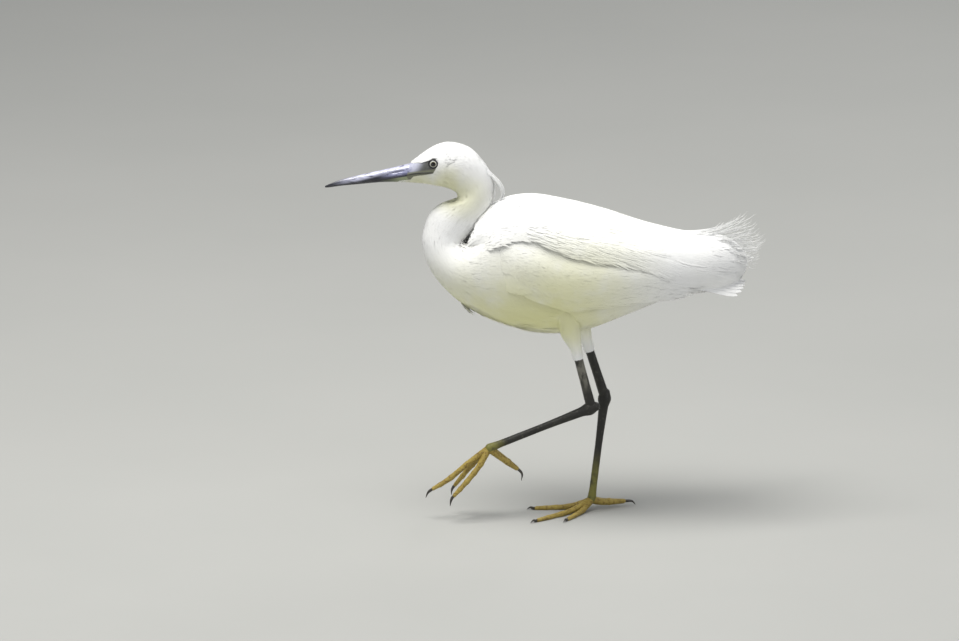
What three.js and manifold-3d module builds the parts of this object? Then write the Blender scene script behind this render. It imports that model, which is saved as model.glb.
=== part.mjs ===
// Little egret, life size, walking: the right foot planted, the left foot raised, the neck folded in an S.
// Millimetres. +Z is up, the bird faces -X and its left side faces -Y. The origin is on the ground,
// below the middle of the box that holds the whole bird. Heights below are counted from a level that is
// GROUND_DROP above the ground, and the whole bird is raised by that at the end.
import * as THREE from "three";
import { mergeVertices } from "three/addons/utils/BufferGeometryUtils.js";
import Module from "manifold-3d";

const wasm = await Module();
wasm.setup();

// Sizes shared by many pieces.
const GAP = 0.3;
const CLEAR = 0.4;
const EYE_RADIUS = 5;
const EYE_SINK = 3.2;
const TARSUS_KNOB = 5.2;
const ANKLE_KNOB = 7;
const GROUND_DROP = 3;
const TOE_RADIUS = 2.9;
const TOE_END_RADIUS = 1.9;
const CLAW_RADIUS = 1.5;
const VANE_THICKNESS = 0.9;

// Plumage and horn, as seen on the bird.
const material = (color, roughness) => new THREE.MeshStandardMaterial({ color, roughness, metalness: 0 });
const PLUMAGE = material(0xf4f3ee, 0.85);
const BILL = material(0x2f3140, 0.4);
const EYE = material(0xe9e3b8, 0.1);
const LEG = material(0x2b2b28, 0.6);
const FOOT = material(0xa8932c, 0.6);
const CLAW = material(0x1c1a18, 0.35);

// Outline of the flesh and small feathers from bill to tail, as ribs across the body. Each rib runs from
// the back of the neck or trunk, [x, z], to the throat, breast or belly, and has its own half width.
// widest moves the widest place towards the back, as a share of the rib's half length.
const RIBS = [
  { at: "bill base", back: [-135.0, 359.6], front: [-139.5, 341.2], half: 7.4, widest: 0 },
  { at: "lores", back: [-126.5, 366.2], front: [-131.5, 340.8], half: 9.6, widest: 0 },
  { at: "brow", back: [-116.5, 373.7], front: [-119.5, 339.9], half: 12.6, widest: 0 },
  { at: "eye", back: [-106.0, 379.5], front: [-107.5, 337.8], half: 14.6, widest: 0 },
  { at: "crown", back: [-94.5, 382.0], front: [-97.5, 335.8], half: 16, widest: 0 },
  { at: "hind crown", back: [-74.0, 376.3], front: [-87.7, 330.8], half: 16, widest: 0 },
  { at: "nape", back: [-58.0, 358.9], front: [-86.3, 325.6], half: 15, widest: 0 },
  { at: "throat", back: [-53.0, 349.0], front: [-87.3, 323.3], half: 14.6, widest: 0 },
  { at: "neck top", back: [-50.7, 337.1], front: [-89.5, 321.7], half: 14.8, widest: 0 },
  { at: "neck bend", back: [-54.5, 315.7], front: [-99.5, 319.4], half: 15.8, widest: 0 },
  { at: "neck front", back: [-65.5, 298.6], front: [-112.5, 309.5], half: 16.8, widest: 0 },
  { at: "neck low", back: [-75.5, 286.6], front: [-120.0, 290.2], half: 18, widest: 0 },
  { at: "neck foot", back: [-78.0, 282.4], front: [-120.9, 277.8], half: 19.5, widest: 0 },
  { at: "crop", back: [-74.0, 281.4], front: [-113.9, 252.8], half: 24.5, widest: 0 },
  { at: "breast", back: [-63.5, 293.4], front: [-94.8, 227.8], half: 31.5, widest: -0.05 },
  { at: "keel", back: [-48.5, 312.6], front: [-69.3, 209.5], half: 37.5, widest: -0.05 },
  { at: "shoulder", back: [-26.5, 320.9], front: [-33.1, 193.7], half: 41, widest: 0 },
  { at: "back", back: [2.5, 321.5], front: [2.5, 185.7], half: 42, widest: 0.04 },
  { at: "loin", back: [40.5, 312.1], front: [40.5, 188.8], half: 40, widest: 0.06 },
  { at: "rump", back: [81.5, 298.6], front: [81.5, 203.9], half: 33, widest: 0.08 },
  { at: "vent", back: [118.5, 285.6], front: [118.5, 219.5], half: 23, widest: 0.05 },
  { at: "tail coverts", back: [136.5, 278.0], front: [136.5, 228.9], half: 17, widest: 0 },
  { at: "tail root", back: [156.5, 266.0], front: [156.5, 237.0], half: 11, widest: 0 },
];
const ribNumber = (name) => RIBS.findIndex((rib) => rib.at === name);

// Where the flesh is parted into nodes, as rib numbers with a fraction.
const HEAD_END = ribNumber("throat") + 0.5;
const UPPER_NECK_END = ribNumber("neck bend") + 0.5;
const LOWER_NECK_END = ribNumber("neck foot") + 0.3;
const TORSO_END = ribNumber("tail coverts");
const TAIL_ROOT = ribNumber("tail root");

// The bill, as ribs from the face to the tip: culmen, mouth line and lower edge, [x, z], and half width.
const BILL_RIBS = [
  { culmen: [-135.0, 359.6], mouth: [-137.6, 348.9], edge: [-139.5, 341.2], half: 7.2 },
  { culmen: [-148.5, 356.2], mouth: [-150.0, 346.4], edge: [-152.0, 341.4], half: 5.9 },
  { culmen: [-161.8, 353.0], mouth: [-162.5, 344.3], edge: [-163.5, 341.1], half: 5.0 },
  { culmen: [-185.7, 347.3], mouth: [-186.0, 341.4], edge: [-186.0, 338.9], half: 3.6 },
  { culmen: [-203.0, 342.8], mouth: [-203.0, 338.6], edge: [-203.0, 337.2], half: 2.2 },
  { culmen: [-214.0, 338.6], mouth: [-214.0, 336.4], edge: [-214.0, 335.5], half: 1.0 },
  { culmen: [-218.2, 336.7], mouth: [-218.2, 335.9], edge: [-218.0, 335.3], half: 0.4 },
];

// Outer surface of the folded wings and back feathers, as upright sections from shoulder to tail.
const COVERING = [
  { x: -84, top: 284, bottom: 236, half: 27 },
  { x: -62, top: 306, bottom: 214, half: 37 },
  { x: -41.5, top: 322.5, bottom: 199, half: 43 },
  { x: -13.5, top: 327.7, bottom: 188, half: 47.5 },
  { x: 20.5, top: 322.5, bottom: 184, half: 49 },
  { x: 60.5, top: 312.1, bottom: 192, half: 46 },
  { x: 101.5, top: 298.6, bottom: 208, half: 38 },
  { x: 143.5, top: 288.9, bottom: 220, half: 27 },
  { x: 179.5, top: 288.5, bottom: 224, half: 20 },
  { x: 222, top: 278, bottom: 222, half: 16 },
];

const radians = THREE.MathUtils.degToRad;
const lerp = THREE.MathUtils.lerp;

// Solids: from three.js geometry to manifold-3d and back.
function solid(geometry) {
  const bare = geometry.clone();
  bare.deleteAttribute("normal");
  bare.deleteAttribute("uv");
  const merged = mergeVertices(bare, 1e-4);
  return new wasm.Manifold(
    new wasm.Mesh({
      numProp: 3,
      vertProperties: new Float32Array(merged.attributes.position.array),
      triVerts: new Uint32Array(merged.index.array),
    }),
  );
}

function geometryOf(body) {
  const mesh = body.getMesh();
  const points = new Float32Array(mesh.numVert * 3);
  for (let i = 0; i < mesh.numVert; i++) {
    points.set(mesh.vertProperties.subarray(i * mesh.numProp, i * mesh.numProp + 3), i * 3);
  }
  const geometry = new THREE.BufferGeometry();
  geometry.setAttribute("position", new THREE.BufferAttribute(points, 3));
  geometry.setIndex(new THREE.BufferAttribute(new Uint32Array(mesh.triVerts), 1));
  geometry.computeVertexNormals();
  return geometry;
}

const joined = (pieces) => pieces.map(solid).reduce((all, piece) => all.add(piece));

// The largest closed body of a solid, so that no loose scrap is kept.
const largest = (body) => body.decompose().reduce((a, b) => (b.volume() > a.volume() ? b : a));

// One closed body: the pieces joined, then the tools cut away.
function fuse(pieces, tools = []) {
  const whole = joined(pieces);
  return geometryOf(largest(tools.length ? whole.subtract(joined(tools)) : whole));
}

// A closed surface through rings of equal length, with a fan over each end.
function loft(rings) {
  const count = rings[0].length;
  const points = rings.flat();
  const faces = [];
  for (let i = 0; i + 1 < rings.length; i++) {
    for (let j = 0; j < count; j++) {
      const a = i * count + j;
      const b = i * count + ((j + 1) % count);
      faces.push(a, b, a + count, b, b + count, a + count);
    }
  }
  const middle = (ring) => ring.reduce((sum, p) => sum.add(p), new THREE.Vector3()).divideScalar(count);
  const last = (rings.length - 1) * count;
  const start = points.push(middle(rings[0])) - 1;
  const end = points.push(middle(rings[rings.length - 1])) - 1;
  for (let j = 0; j < count; j++) {
    const next = (j + 1) % count;
    faces.push(start, next, j, end, last + j, last + next);
  }
  return closed(points, faces);
}

// A closed slab between two sheets of rows by columns, split into triangles alike on both faces.
function slab(rows, columns, outer, inner) {
  const points = [];
  for (const sheet of [outer, inner]) {
    for (let i = 0; i < rows; i++) {
      for (let j = 0; j < columns; j++) points.push(sheet(i, j));
    }
  }
  const layer = rows * columns;
  const faces = [];
  for (let i = 0; i + 1 < rows; i++) {
    for (let j = 0; j + 1 < columns; j++) {
      const a = i * columns + j;
      const b = a + 1;
      const c = a + columns;
      const d = c + 1;
      faces.push(a, b, c, b, d, c);
      faces.push(layer + a, layer + c, layer + b, layer + b, layer + c, layer + d);
    }
  }
  const rim = [];
  for (let j = 0; j < columns; j++) rim.push(j);
  for (let i = 1; i < rows; i++) rim.push(i * columns + columns - 1);
  for (let j = columns - 2; j >= 0; j--) rim.push((rows - 1) * columns + j);
  for (let i = rows - 2; i > 0; i--) rim.push(i * columns);
  rim.forEach((a, n) => {
    const b = rim[(n + 1) % rim.length];
    faces.push(a, layer + a, b, b, layer + a, layer + b);
  });
  return closed(points, faces);
}

// Geometry from points and faces, turned so that its faces point outwards.
function closed(points, faces) {
  let volume = 0;
  for (let i = 0; i < faces.length; i += 3) {
    const [a, b, c] = [points[faces[i]], points[faces[i + 1]], points[faces[i + 2]]];
    volume += a.dot(new THREE.Vector3().crossVectors(b, c));
  }
  if (volume < 0) faces.reverse();
  const geometry = new THREE.BufferGeometry().setFromPoints(points);
  geometry.setIndex(faces);
  return geometry;
}

// A tapered tube along a smooth curve through points, with a radius for each and a rounded end.
function tube(path, radii, sides, steps, extra = 0) {
  const curve = new THREE.CatmullRomCurve3(path.map((p) => new THREE.Vector3(...p)));
  const radiusAt = (t) => {
    const place = t * (radii.length - 1);
    const low = Math.min(Math.floor(place), radii.length - 2);
    return lerp(radii[low], radii[low + 1], place - low) + extra;
  };
  const frames = curve.computeFrenetFrames(steps, false);
  const rings = [];
  for (let i = 0; i <= steps; i++) {
    const centre = curve.getPoint(i / steps);
    const radius = radiusAt(i / steps);
    rings.push(circle(centre, frames.normals[i], frames.binormals[i], radius, sides));
  }
  const tip = curve.getPoint(1).addScaledVector(frames.tangents[steps], radiusAt(1) * 0.6);
  rings.push(circle(tip, frames.normals[steps], frames.binormals[steps], radiusAt(1) * 0.6, sides));
  return loft(rings);
}

function circle(centre, u, v, radius, sides) {
  return Array.from({ length: sides }, (_, j) => {
    const angle = (2 * Math.PI * j) / sides;
    return centre
      .clone()
      .addScaledVector(u, radius * Math.cos(angle))
      .addScaledVector(v, radius * Math.sin(angle));
  });
}

const ball = (centre, radius, sides = 10) =>
  new THREE.SphereGeometry(radius, sides, Math.ceil(sides / 2)).translate(...centre);

// The flesh surface.
const spine = (points) => new THREE.CatmullRomCurve3(points.map(([x, y, z]) => new THREE.Vector3(x, y, z)));
const BACK_LINE = spine(RIBS.map((rib) => [rib.back[0], rib.widest * 10, rib.back[1]]));
const FRONT_LINE = spine(RIBS.map((rib) => [rib.front[0], rib.half, rib.front[1]]));

function ribAt(place) {
  const t = THREE.MathUtils.clamp(place / (RIBS.length - 1), 0, 1);
  const back = BACK_LINE.getPoint(t);
  const front = FRONT_LINE.getPoint(t);
  const [widest, half] = [back.y / 10, front.y];
  back.y = 0;
  front.y = 0;
  const along = back.clone().sub(front);
  const length = along.length() / 2;
  along.normalize();
  const forward = new THREE.Vector3(along.z, 0, -along.x);
  return { middle: back.clone().add(front).divideScalar(2), along, forward, length, half, widest };
}

// A point of the flesh at a rib: angle 0 is the back, a quarter turn the left side. height is off the skin.
function onRib(rib, angle, height = 0) {
  const up = (rib.length + height) * (Math.cos(angle) + rib.widest * Math.sin(angle) ** 2);
  return rib.middle
    .clone()
    .addScaledVector(rib.along, up)
    .add(new THREE.Vector3(0, -(rib.half + height) * Math.sin(angle), 0));
}

const places = (from, to, count) => Array.from({ length: count + 1 }, (_, i) => lerp(from, to, i / count));

// The flesh between the first and the last of some places along it, with half the gap left at either end.
function flesh(along, sides, height = 0) {
  const last = along.length - 1;
  return loft(
    along.map((place, i) => {
      const rib = ribAt(place);
      if (i === 0) rib.middle.addScaledVector(rib.forward, GAP / 2);
      if (i === last) rib.middle.addScaledVector(rib.forward, -GAP / 2);
      return Array.from({ length: sides }, (_, j) => onRib(rib, (2 * Math.PI * j) / sides, height));
    }),
  );
}

// The left side's point of the head or neck that shows at x, z from the side.
function onSide(x, z, from, to) {
  const point = new THREE.Vector3(x, 0, z);
  let [low, high] = [from, to];
  for (let n = 0; n < 30; n++) {
    const rib = ribAt((low + high) / 2);
    if (point.clone().sub(rib.middle).dot(rib.forward) > 0) low = (low + high) / 2;
    else high = (low + high) / 2;
  }
  const rib = ribAt(low);
  const share = THREE.MathUtils.clamp(point.sub(rib.middle).dot(rib.along) / rib.length, -1, 1);
  return [x, -rib.half * Math.sqrt(1 - share * share), z];
}

// The covering surface.
const COVER_LINE = spine(COVERING.map((c) => [c.x, c.half, (c.top + c.bottom) / 2]));
const COVER_DEPTH = spine(COVERING.map((c) => [c.x, 0, (c.top - c.bottom) / 2]));

function coverAt(x) {
  let [low, high] = [0, 1];
  for (let n = 0; n < 24; n++) {
    const t = (low + high) / 2;
    if (COVER_LINE.getPoint(t).x < x) low = t;
    else high = t;
  }
  const at = COVER_LINE.getPoint(low);
  return { half: at.y, middle: at.z, depth: COVER_DEPTH.getPoint(low).z };
}

// A point of the covering: angle 0 is the middle of the back, 90 degrees the left side.
function onCover(x, angle, height) {
  const cover = coverAt(x);
  const turn = radians(angle);
  return new THREE.Vector3(
    x,
    -(cover.half + height) * Math.sin(turn),
    cover.middle + (cover.depth + height) * Math.cos(turn),
  );
}

// The covering's angle at a height z, seen from the side.
function angleAt(x, z) {
  const cover = coverAt(x);
  return THREE.MathUtils.radToDeg(Math.acos(THREE.MathUtils.clamp((z - cover.middle) / cover.depth, -1, 1)));
}

// One feather on the covering. root and tip are [x, angle] and lift is the height of each over the covering.
// tilt raises its lower edge, so that each feather lies over the next below it. The root is sunk well in.
const VANE_STATIONS = [0, 0.45, 0.82, 1];
const ROUND_TIP = [0.7, 1, 0.86, 0.2];
const LANCE_TIP = [0.7, 1, 0.6, 0.1];
function vane({ root, tip, width, lift, tilt = 0.8, shape = ROUND_TIP, bow = 0, sunk = 3.5, curl = 0 }) {
  const place = (i, j, isOuter) => {
    const s = VANE_STATIONS[i];
    const depth = isOuter ? 0 : lerp(sunk, VANE_THICKNESS, s);
    const side = j - 1;
    const x = lerp(root[0], tip[0], s);
    const angle = lerp(root[1], tip[1], s) + bow * Math.sin(Math.PI * s);
    const cover = coverAt(x);
    const degreeLength = radians(1) * ((cover.half + cover.depth) / 2);
    const run = tip[0] - root[0];
    const climb = (tip[1] - root[1]) * degreeLength;
    const length = Math.hypot(run, climb);
    const half = (width / 2) * shape[i] * side;
    const height = lerp(lift[0], lift[1], s) + tilt * side + 0.35 * (1 - side * side) + curl * s ** 4 - depth;
    return onCover(x - (climb / length) * half, angle + (run / length) * (half / degreeLength), height);
  };
  return slab(VANE_STATIONS.length, 3, (i, j) => place(i, j, true), (i, j) => place(i, j, false));
}

// A row of feathers, from the first one's root and tip to the last one's.
function tier({ count, root, tip, ...rest }) {
  return Array.from({ length: count }, (_, n) => {
    const share = count > 1 ? n / (count - 1) : 0;
    const between = ([a, b]) => [lerp(a[0], b[0], share), lerp(a[1], b[1], share)];
    return vane({ root: between(root), tip: between(tip), ...rest });
  });
}

// A smooth sheet of plumage on the covering between two angles, thinning to its rim.
function plumage({ from, to, rows, columns, upper, lower, height, rim, depth }) {
  const place = (i, j, isOuter) => {
    const x = lerp(from, to, i / (rows - 1));
    const across = j / (columns - 1);
    const angle = lerp(upper(x), lower(x), across);
    const edge = Math.min(i / (rows - 1), 1 - i / (rows - 1)) * 5;
    const side = Math.min(across, 1 - across) * 4;
    const fullness = Math.min(1, Math.sqrt(Math.min(edge, side)));
    return onCover(x, angle, isOuter ? lerp(rim, height, fullness) : -depth);
  };
  return slab(rows, columns, (i, j) => place(i, j, true), (i, j) => place(i, j, false));
}

// The room between two heights over the covering, across the angles given at each x.
function coverRoom({ angles, outer, inner }) {
  const along = places(-90, 222, 16);
  const place = (i, j, height) => onCover(along[i], angles(along[i])[j], height);
  return slab(along.length, angles(0).length, (i, j) => place(i, j, outer), (i, j) => place(i, j, inner));
}

const model = new THREE.Group();
function add(name, geometry, finish) {
  const mesh = new THREE.Mesh(geometry.translate(0, 0, GROUND_DROP), finish);
  mesh.name = name;
  model.add(mesh);
}

// Mirrors a geometry from the left side to the right.
function mirrored(geometry) {
  const copy = geometry.clone().scale(1, -1, 1);
  copy.setIndex(Array.from(copy.index.array).reverse());
  return copy;
}

// Head, with sockets, lids, the gape behind the bill and two long plumes at the nape.
const EYE_PLACE = onSide(-110.2, 363.3, 1, 6);
const EYE_CENTRE = [EYE_PLACE[0], EYE_PLACE[1] + EYE_SINK, EYE_PLACE[2]];
const GAPE = [[-133.5, 350.2], [-126, 351.6], [-117, 353.8], [-110.5, 355.4]];
const NAPE_PLUMES = [
  { path: [[-62, -2, 356], [-54, -3, 352], [-44.8, -4, 343.6], [-40, -3, 335], [-41.5, 1, 328], [-45.5, 4, 322.6]], radius: 1.8 },
  { path: [[-60, 2, 350], [-53, 3, 346], [-48.6, 4, 338], [-46.4, 5, 331], [-48.2, 6, 325], [-51.5, 8, 319.5]], radius: 1.4 },
];

function lid(side) {
  const ring = new THREE.TorusGeometry(EYE_RADIUS - 0.7, 0.9, 5, 14);
  ring.rotateX(Math.PI / 2).rotateZ(radians(-6));
  ring.translate(EYE_PLACE[0], EYE_PLACE[1] + 0.5, EYE_PLACE[2]);
  return side > 0 ? mirrored(ring) : ring;
}

function gapeGroove(side) {
  const path = GAPE.map(([x, z]) => onSide(x, z, 0, 6));
  const groove = tube(path, [0.75, 0.75, 0.7, 0.4], 5, 5);
  return side > 0 ? mirrored(groove) : groove;
}

function napePlume({ path, radius }) {
  return tube(path, [1, 1, 1, 0.9, 0.7, 0.35].map((share) => share * radius), 5, 8);
}

const NECK_SIDES = 18;
const UPPER_NECK_PLACES = places(HEAD_END, UPPER_NECK_END, 6);
const LOWER_NECK_PLACES = places(UPPER_NECK_END, LOWER_NECK_END, 7);
const rightEye = [EYE_CENTRE[0], -EYE_CENTRE[1], EYE_CENTRE[2]];
add(
  "head",
  fuse(
    [flesh(places(0, HEAD_END, 14), 20), lid(-1), lid(1), ...NAPE_PLUMES.map(napePlume)],
    [
      flesh(UPPER_NECK_PLACES, NECK_SIDES, CLEAR),
      ball(EYE_CENTRE, EYE_RADIUS + GAP, 14),
      ball(rightEye, EYE_RADIUS + GAP, 14),
      gapeGroove(-1),
      gapeGroove(1),
    ],
  ),
  PLUMAGE,
);
add("eye_left", ball(EYE_CENTRE, EYE_RADIUS, 14), EYE);
add("eye_right", ball(rightEye, EYE_RADIUS, 14), EYE);

// Bill: two halves that meet at the mouth line, with a nostril slit on each side of the upper half.
const BILL_SIDES = 8;
function billHalf(edgeOf, turn) {
  const lines = ["culmen", "mouth", "edge"].map((name) =>
    spine(BILL_RIBS.map((rib) => [rib[name][0], rib.half, rib[name][1]])),
  );
  const [culmen, mouth, edge] = lines;
  const far = edgeOf === "culmen" ? culmen : edge;
  const steps = 12;
  return loft(
    Array.from({ length: steps + 1 }, (_, i) => {
      const t = i / steps;
      const at = mouth.getPoint(t);
      const half = at.y;
      const away = far.getPoint(t).sub(at).setY(0);
      const base = at.setY(0).addScaledVector(away.clone().normalize(), GAP / 2);
      base.x -= i === 0 ? GAP : 0;
      const arc = Array.from({ length: BILL_SIDES + 1 }, (_, j) => {
        const angle = (Math.PI * j) / BILL_SIDES;
        return base
          .clone()
          .addScaledVector(away, Math.sin(angle) ** 0.85)
          .add(new THREE.Vector3(0, turn * half * Math.cos(angle), 0));
      });
      return arc;
    }),
  );
}
const NOSTRIL = [[-141, 354.6], [-146.5, 353.2], [-152.5, 351.6]];
const nostril = (side) => tube(NOSTRIL.map(([x, z], n) => [x, side * (5.9 - n * 0.5), z]), [0.9, 0.8, 0.4], 6, 4);
add("bill_upper", fuse([billHalf("culmen", 1)], [nostril(-1), nostril(1)]), BILL);
add("bill_lower", fuse([billHalf("edge", -1)]), BILL);

// Neck, in two lengths.
add("neck_upper", flesh(UPPER_NECK_PLACES, NECK_SIDES), PLUMAGE);
add("neck_lower", flesh(LOWER_NECK_PLACES, NECK_SIDES), PLUMAGE);

// Trunk, with the long breast plumes lying back along its lower edge.
const TORSO_SIDES = 20;
const TORSO_PLACES = [...places(LOWER_NECK_END, ribNumber("shoulder"), 8), ...places(16, TORSO_END, 7).slice(1)];
const BREAST_PLUMES = 9;
function breastPlume(n) {
  const share = n / (BREAST_PLUMES - 1);
  const place = lerp(ribNumber("breast") + 0.1, ribNumber("shoulder") + 0.1, share);
  const angle = Math.PI + (((n * 5) % 7) / 6 - 0.5) * 0.9;
  const root = onRib(ribAt(place), angle, -2.5);
  const middle = onRib(ribAt(place + 0.55), angle, 0.4);
  const end = onRib(ribAt(place + 1.05), angle, 3.4);
  const points = [root, middle, end].map((p) => p.toArray());
  return tube(points, [1.4, 1.2, 0.35], 4, 3);
}
add(
  "torso",
  fuse([flesh(TORSO_PLACES, TORSO_SIDES), ...Array.from({ length: BREAST_PLUMES }, (_, n) => breastPlume(n))]),
  PLUMAGE,
);

// Room kept free for the trunk, the tail's root and the neck inside what covers them.
const bodyRoom = flesh([LOWER_NECK_END - 0.5, ...TORSO_PLACES, TORSO_END + 0.5, TAIL_ROOT], TORSO_SIDES, CLEAR);
const neckRoom = flesh([...UPPER_NECK_PLACES, ...LOWER_NECK_PLACES.slice(1), LOWER_NECK_END + 0.4], NECK_SIDES, CLEAR);

// Folded wing: a smooth sheet of lesser coverts, then coverts and flight feathers in tiers. The mantle lies
// over its upper edge, and SEAM is the height on the covering where the two meet.
const SEAM = -2;
const mantleEdge = (x) => lerp(40, 82, THREE.MathUtils.smoothstep(x, -75, 20));
const wingUpper = (x) => mantleEdge(x) - 16;
const wingLower = (x) => angleAt(x, lerp(262, 220, THREE.MathUtils.smoothstep(x, -46, 22)));
const wingSheet = plumage({
  from: -47, to: 122, rows: 11, columns: 7, upper: wingUpper, lower: wingLower, height: -0.6, rim: -3, depth: 22,
});
const FLIGHT_TIERS = [
  { count: 4, root: [[96, 110], [90, 98]], tip: [[152, 112], [199, 100]], width: 17, lift: [-3, -1.2], shape: LANCE_TIP },
  { count: 5, root: [[40, 110], [58, 92]], tip: [[112, 115], [176, 90]], width: 25, lift: [-2.4, -0.2] },
  { count: 3, root: [[72, 92], [70, 84]], tip: [[160, 96], [184, 88]], width: 20, lift: [-2, 0.7] },
  { count: 5, root: [[-8, 108], [22, 86]], tip: [[58, 114], [100, 92]], width: 25, lift: [-2, 0.9] },
  { count: 4, root: [[-26, 100], [-6, 84]], tip: [[14, 112], [46, 92]], width: 22, lift: [-2, 1.1] },
];
const seamAngles = (x) => places(wingUpper(x) - 2, mantleEdge(x) + 4, 4);
const underMantle = coverRoom({ angles: (x) => [-4, ...seamAngles(x)], outer: 20, inner: SEAM });
const overWing = coverRoom({ angles: (x) => [...seamAngles(x), 112], outer: SEAM + CLEAR, inner: -34 });
const thighRoom = (side) => thighTube(LEGS[side].thigh, CLEAR);
const wing = (side) => {
  const whole = [wingSheet, ...FLIGHT_TIERS.flatMap(tier)];
  const pieces = side === "right" ? whole.map(mirrored) : whole;
  return fuse(pieces, [bodyRoom, side === "right" ? mirrored(underMantle) : underMantle, thighRoom(side)]);
};

// Back: the mantle, with the long loose plumes that hang past the tail and curl up at their ends.
const mantleSheet = plumage({
  from: -73, to: 150, rows: 12, columns: 11,
  upper: (x) => -mantleEdge(x), lower: mantleEdge,
  height: 0.2, rim: 1.2, depth: 16,
});
const SCAPULARS = { count: 4, root: [[-34, 46], [52, 68]], tip: [[22, 70], [118, 78]], width: 15, lift: [-0.4, 2.2] };
const TRAIN = { count: 5, root: [[100, 60], [110, 4]], tip: [[196, 70], [184, 6]], width: 15, lift: [-1, 2.2], shape: LANCE_TIP };
const CURLED = [
  { root: [150, 30], tip: [207, 20], curl: 16 },
  { root: [154, 42], tip: [213, 34], curl: 11 },
  { root: [156, 54], tip: [218.2, 48], curl: 6 },
  { root: [150, 12], tip: [199, 8], curl: 14 },
];
const curledPlumes = CURLED.map((plume) => vane({ ...plume, width: 4.5, lift: [-0.6, 2.6], tilt: 0, shape: LANCE_TIP }));
const leftPlumes = [...tier(SCAPULARS), ...tier(TRAIN), ...curledPlumes];
// Room for the fold between the neck's foot and the back, where the neck rests on the shoulders.
const foldRoom = tube([[-71, -17, 281], [-71, 0, 281], [-71, 17, 281]], [6.5, 6.5, 6.5], 8, 2);
add(
  "mantle",
  fuse(
    [mantleSheet, ...leftPlumes, ...leftPlumes.map(mirrored)],
    [bodyRoom, neckRoom, foldRoom, overWing, mirrored(overWing)],
  ),
  PLUMAGE,
);

// Tail: the root of the flesh with twelve feathers, the middle pair highest.
const TAIL_PAIRS = 6;
function tailFeather(n, side) {
  const out = (n + 0.35) / TAIL_PAIRS;
  const root = new THREE.Vector3(142, side * 1.6 * (n + 0.4), 254 - n * 0.9);
  const tip = new THREE.Vector3(201 - 6 * out * out, side * 21 * out, 235 - 9 * out * out);
  const across = new THREE.Vector3(side * -0.2, 1, -0.5 * out * side).normalize();
  const widths = [2.2, 4.8, 4.9, 1.9];
  const place = (i, j, depth) => {
    const p = root.clone().lerp(tip, VANE_STATIONS[i]);
    p.z += 2.5 * Math.sin(Math.PI * VANE_STATIONS[i]) - depth + (j === 1 ? 0.4 : 0);
    return p.addScaledVector(across, (j - 1) * widths[i]);
  };
  return slab(VANE_STATIONS.length, 3, (i, j) => place(i, j, 0), (i, j) => place(i, j, 0.9));
}
const rectrices = Array.from({ length: TAIL_PAIRS * 2 }, (_, n) =>
  tailFeather(Math.floor(n / 2), n % 2 ? 1 : -1),
);
add("tail", fuse([flesh(places(TORSO_END, TAIL_ROOT, 3), 16), ...rectrices]), PLUMAGE);

// Legs. Each has a feathered thigh, a bare shank, the long tarsus with its ankle, four toes and their claws.
const PLANTED_FOOT = [48.5, 12, 7.2];
const LEGS = {
  left: {
    thigh: [[16, -18, 232], [27.5, -23, 190], [32, -24, 176.5], [35, -24, 164]],
    ankle: [48, -24, 113],
    foot: [-54.5, -24, 71],
    toes: {
      middle: [[-54.5, -24, 71], [-75, -24, 55.5], [-95.5, -24, 38.2], [-110.5, -24, 28.7]],
      outer: [[-54.5, -24, 71], [-64, -29.5, 54.5], [-75.5, -34, 40.5], [-89.5, -38, 25.5]],
      inner: [[-54.5, -24, 71], [-67.5, -17, 56], [-77.5, -12, 43], [-88.5, -8, 28]],
      hallux: [[-54.5, -24, 71], [-43.5, -21.5, 62], [-34.5, -19.5, 54.5], [-26.5, -18.5, 48.3]],
    },
    claws: {
      middle: [[-115.6, -24, 24.6], [-117.8, -24, 19.2]],
      outer: [[-92.6, -38.8, 20.2], [-93.4, -39.2, 15.2]],
      inner: [[-91.6, -7.2, 22.8], [-92.2, -7, 17.4]],
      hallux: [[-21.4, -17.8, 42.4], [-22, -17.4, 35.4]],
    },
  },
  right: {
    thigh: [[24, 18, 232], [37.5, 20, 188], [42.5, 19.5, 173], [46.5, 19, 160]],
    ankle: [61.5, 17, 113],
    foot: PLANTED_FOOT,
    toes: {},
    claws: {},
  },
};

// The planted foot: each toe's heading from straight ahead towards the left, its length and its claw's.
// Heights are above the ground, at shares of the length. The hind toe is arched and rests on its claw.
const PLANTED_TOES = { middle: [40, 71, 9], outer: [3, 56, 9], inner: [60, 48, 9], hallux: [197, 34, 12] };
const TOE_HEIGHTS = [[0, 10], [0.17, 6.4], [0.42, 3], [0.7, 2.1], [1, 1.7]];
const HALLUX_HEIGHTS = [[0, 10], [0.25, 7.4], [0.6, 6], [1, 5.4]];
const CLAW_HEIGHTS = [[0.62, 2.6], [1, 0.7]];
const HALLUX_CLAW_HEIGHTS = [[0.7, 4.6], [1, 0.7]];
for (const [name, [heading, length, claw]] of Object.entries(PLANTED_TOES)) {
  const at = (distance, height) => [
    PLANTED_FOOT[0] - distance * Math.cos(radians(heading)),
    PLANTED_FOOT[1] - distance * Math.sin(radians(heading)),
    height - GROUND_DROP,
  ];
  const toeHeights = name === "hallux" ? HALLUX_HEIGHTS : TOE_HEIGHTS;
  const clawHeights = name === "hallux" ? HALLUX_CLAW_HEIGHTS : CLAW_HEIGHTS;
  LEGS.right.toes[name] = toeHeights.map(([share, height]) => at(share * length, height));
  LEGS.right.claws[name] = clawHeights.map(([share, height]) => at(length + share * claw, height));
}

const thighTube = (path, extra) => tube(path, [16, 10, 6.6, 5.3], 12, 7, extra);
add("wing_left", wing("left"), PLUMAGE);
add("wing_right", wing("right"), PLUMAGE);

const floor = new THREE.BoxGeometry(400, 400, 20).translate(0, 0, -10 - GROUND_DROP);
const TOE_RADII = [TOE_RADIUS, TOE_RADIUS * 0.92, TOE_RADIUS * 0.86, TOE_END_RADIUS];
const toeTube = (path, extra = 0) => tube(path, TOE_RADII, 7, 5, extra);

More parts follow.
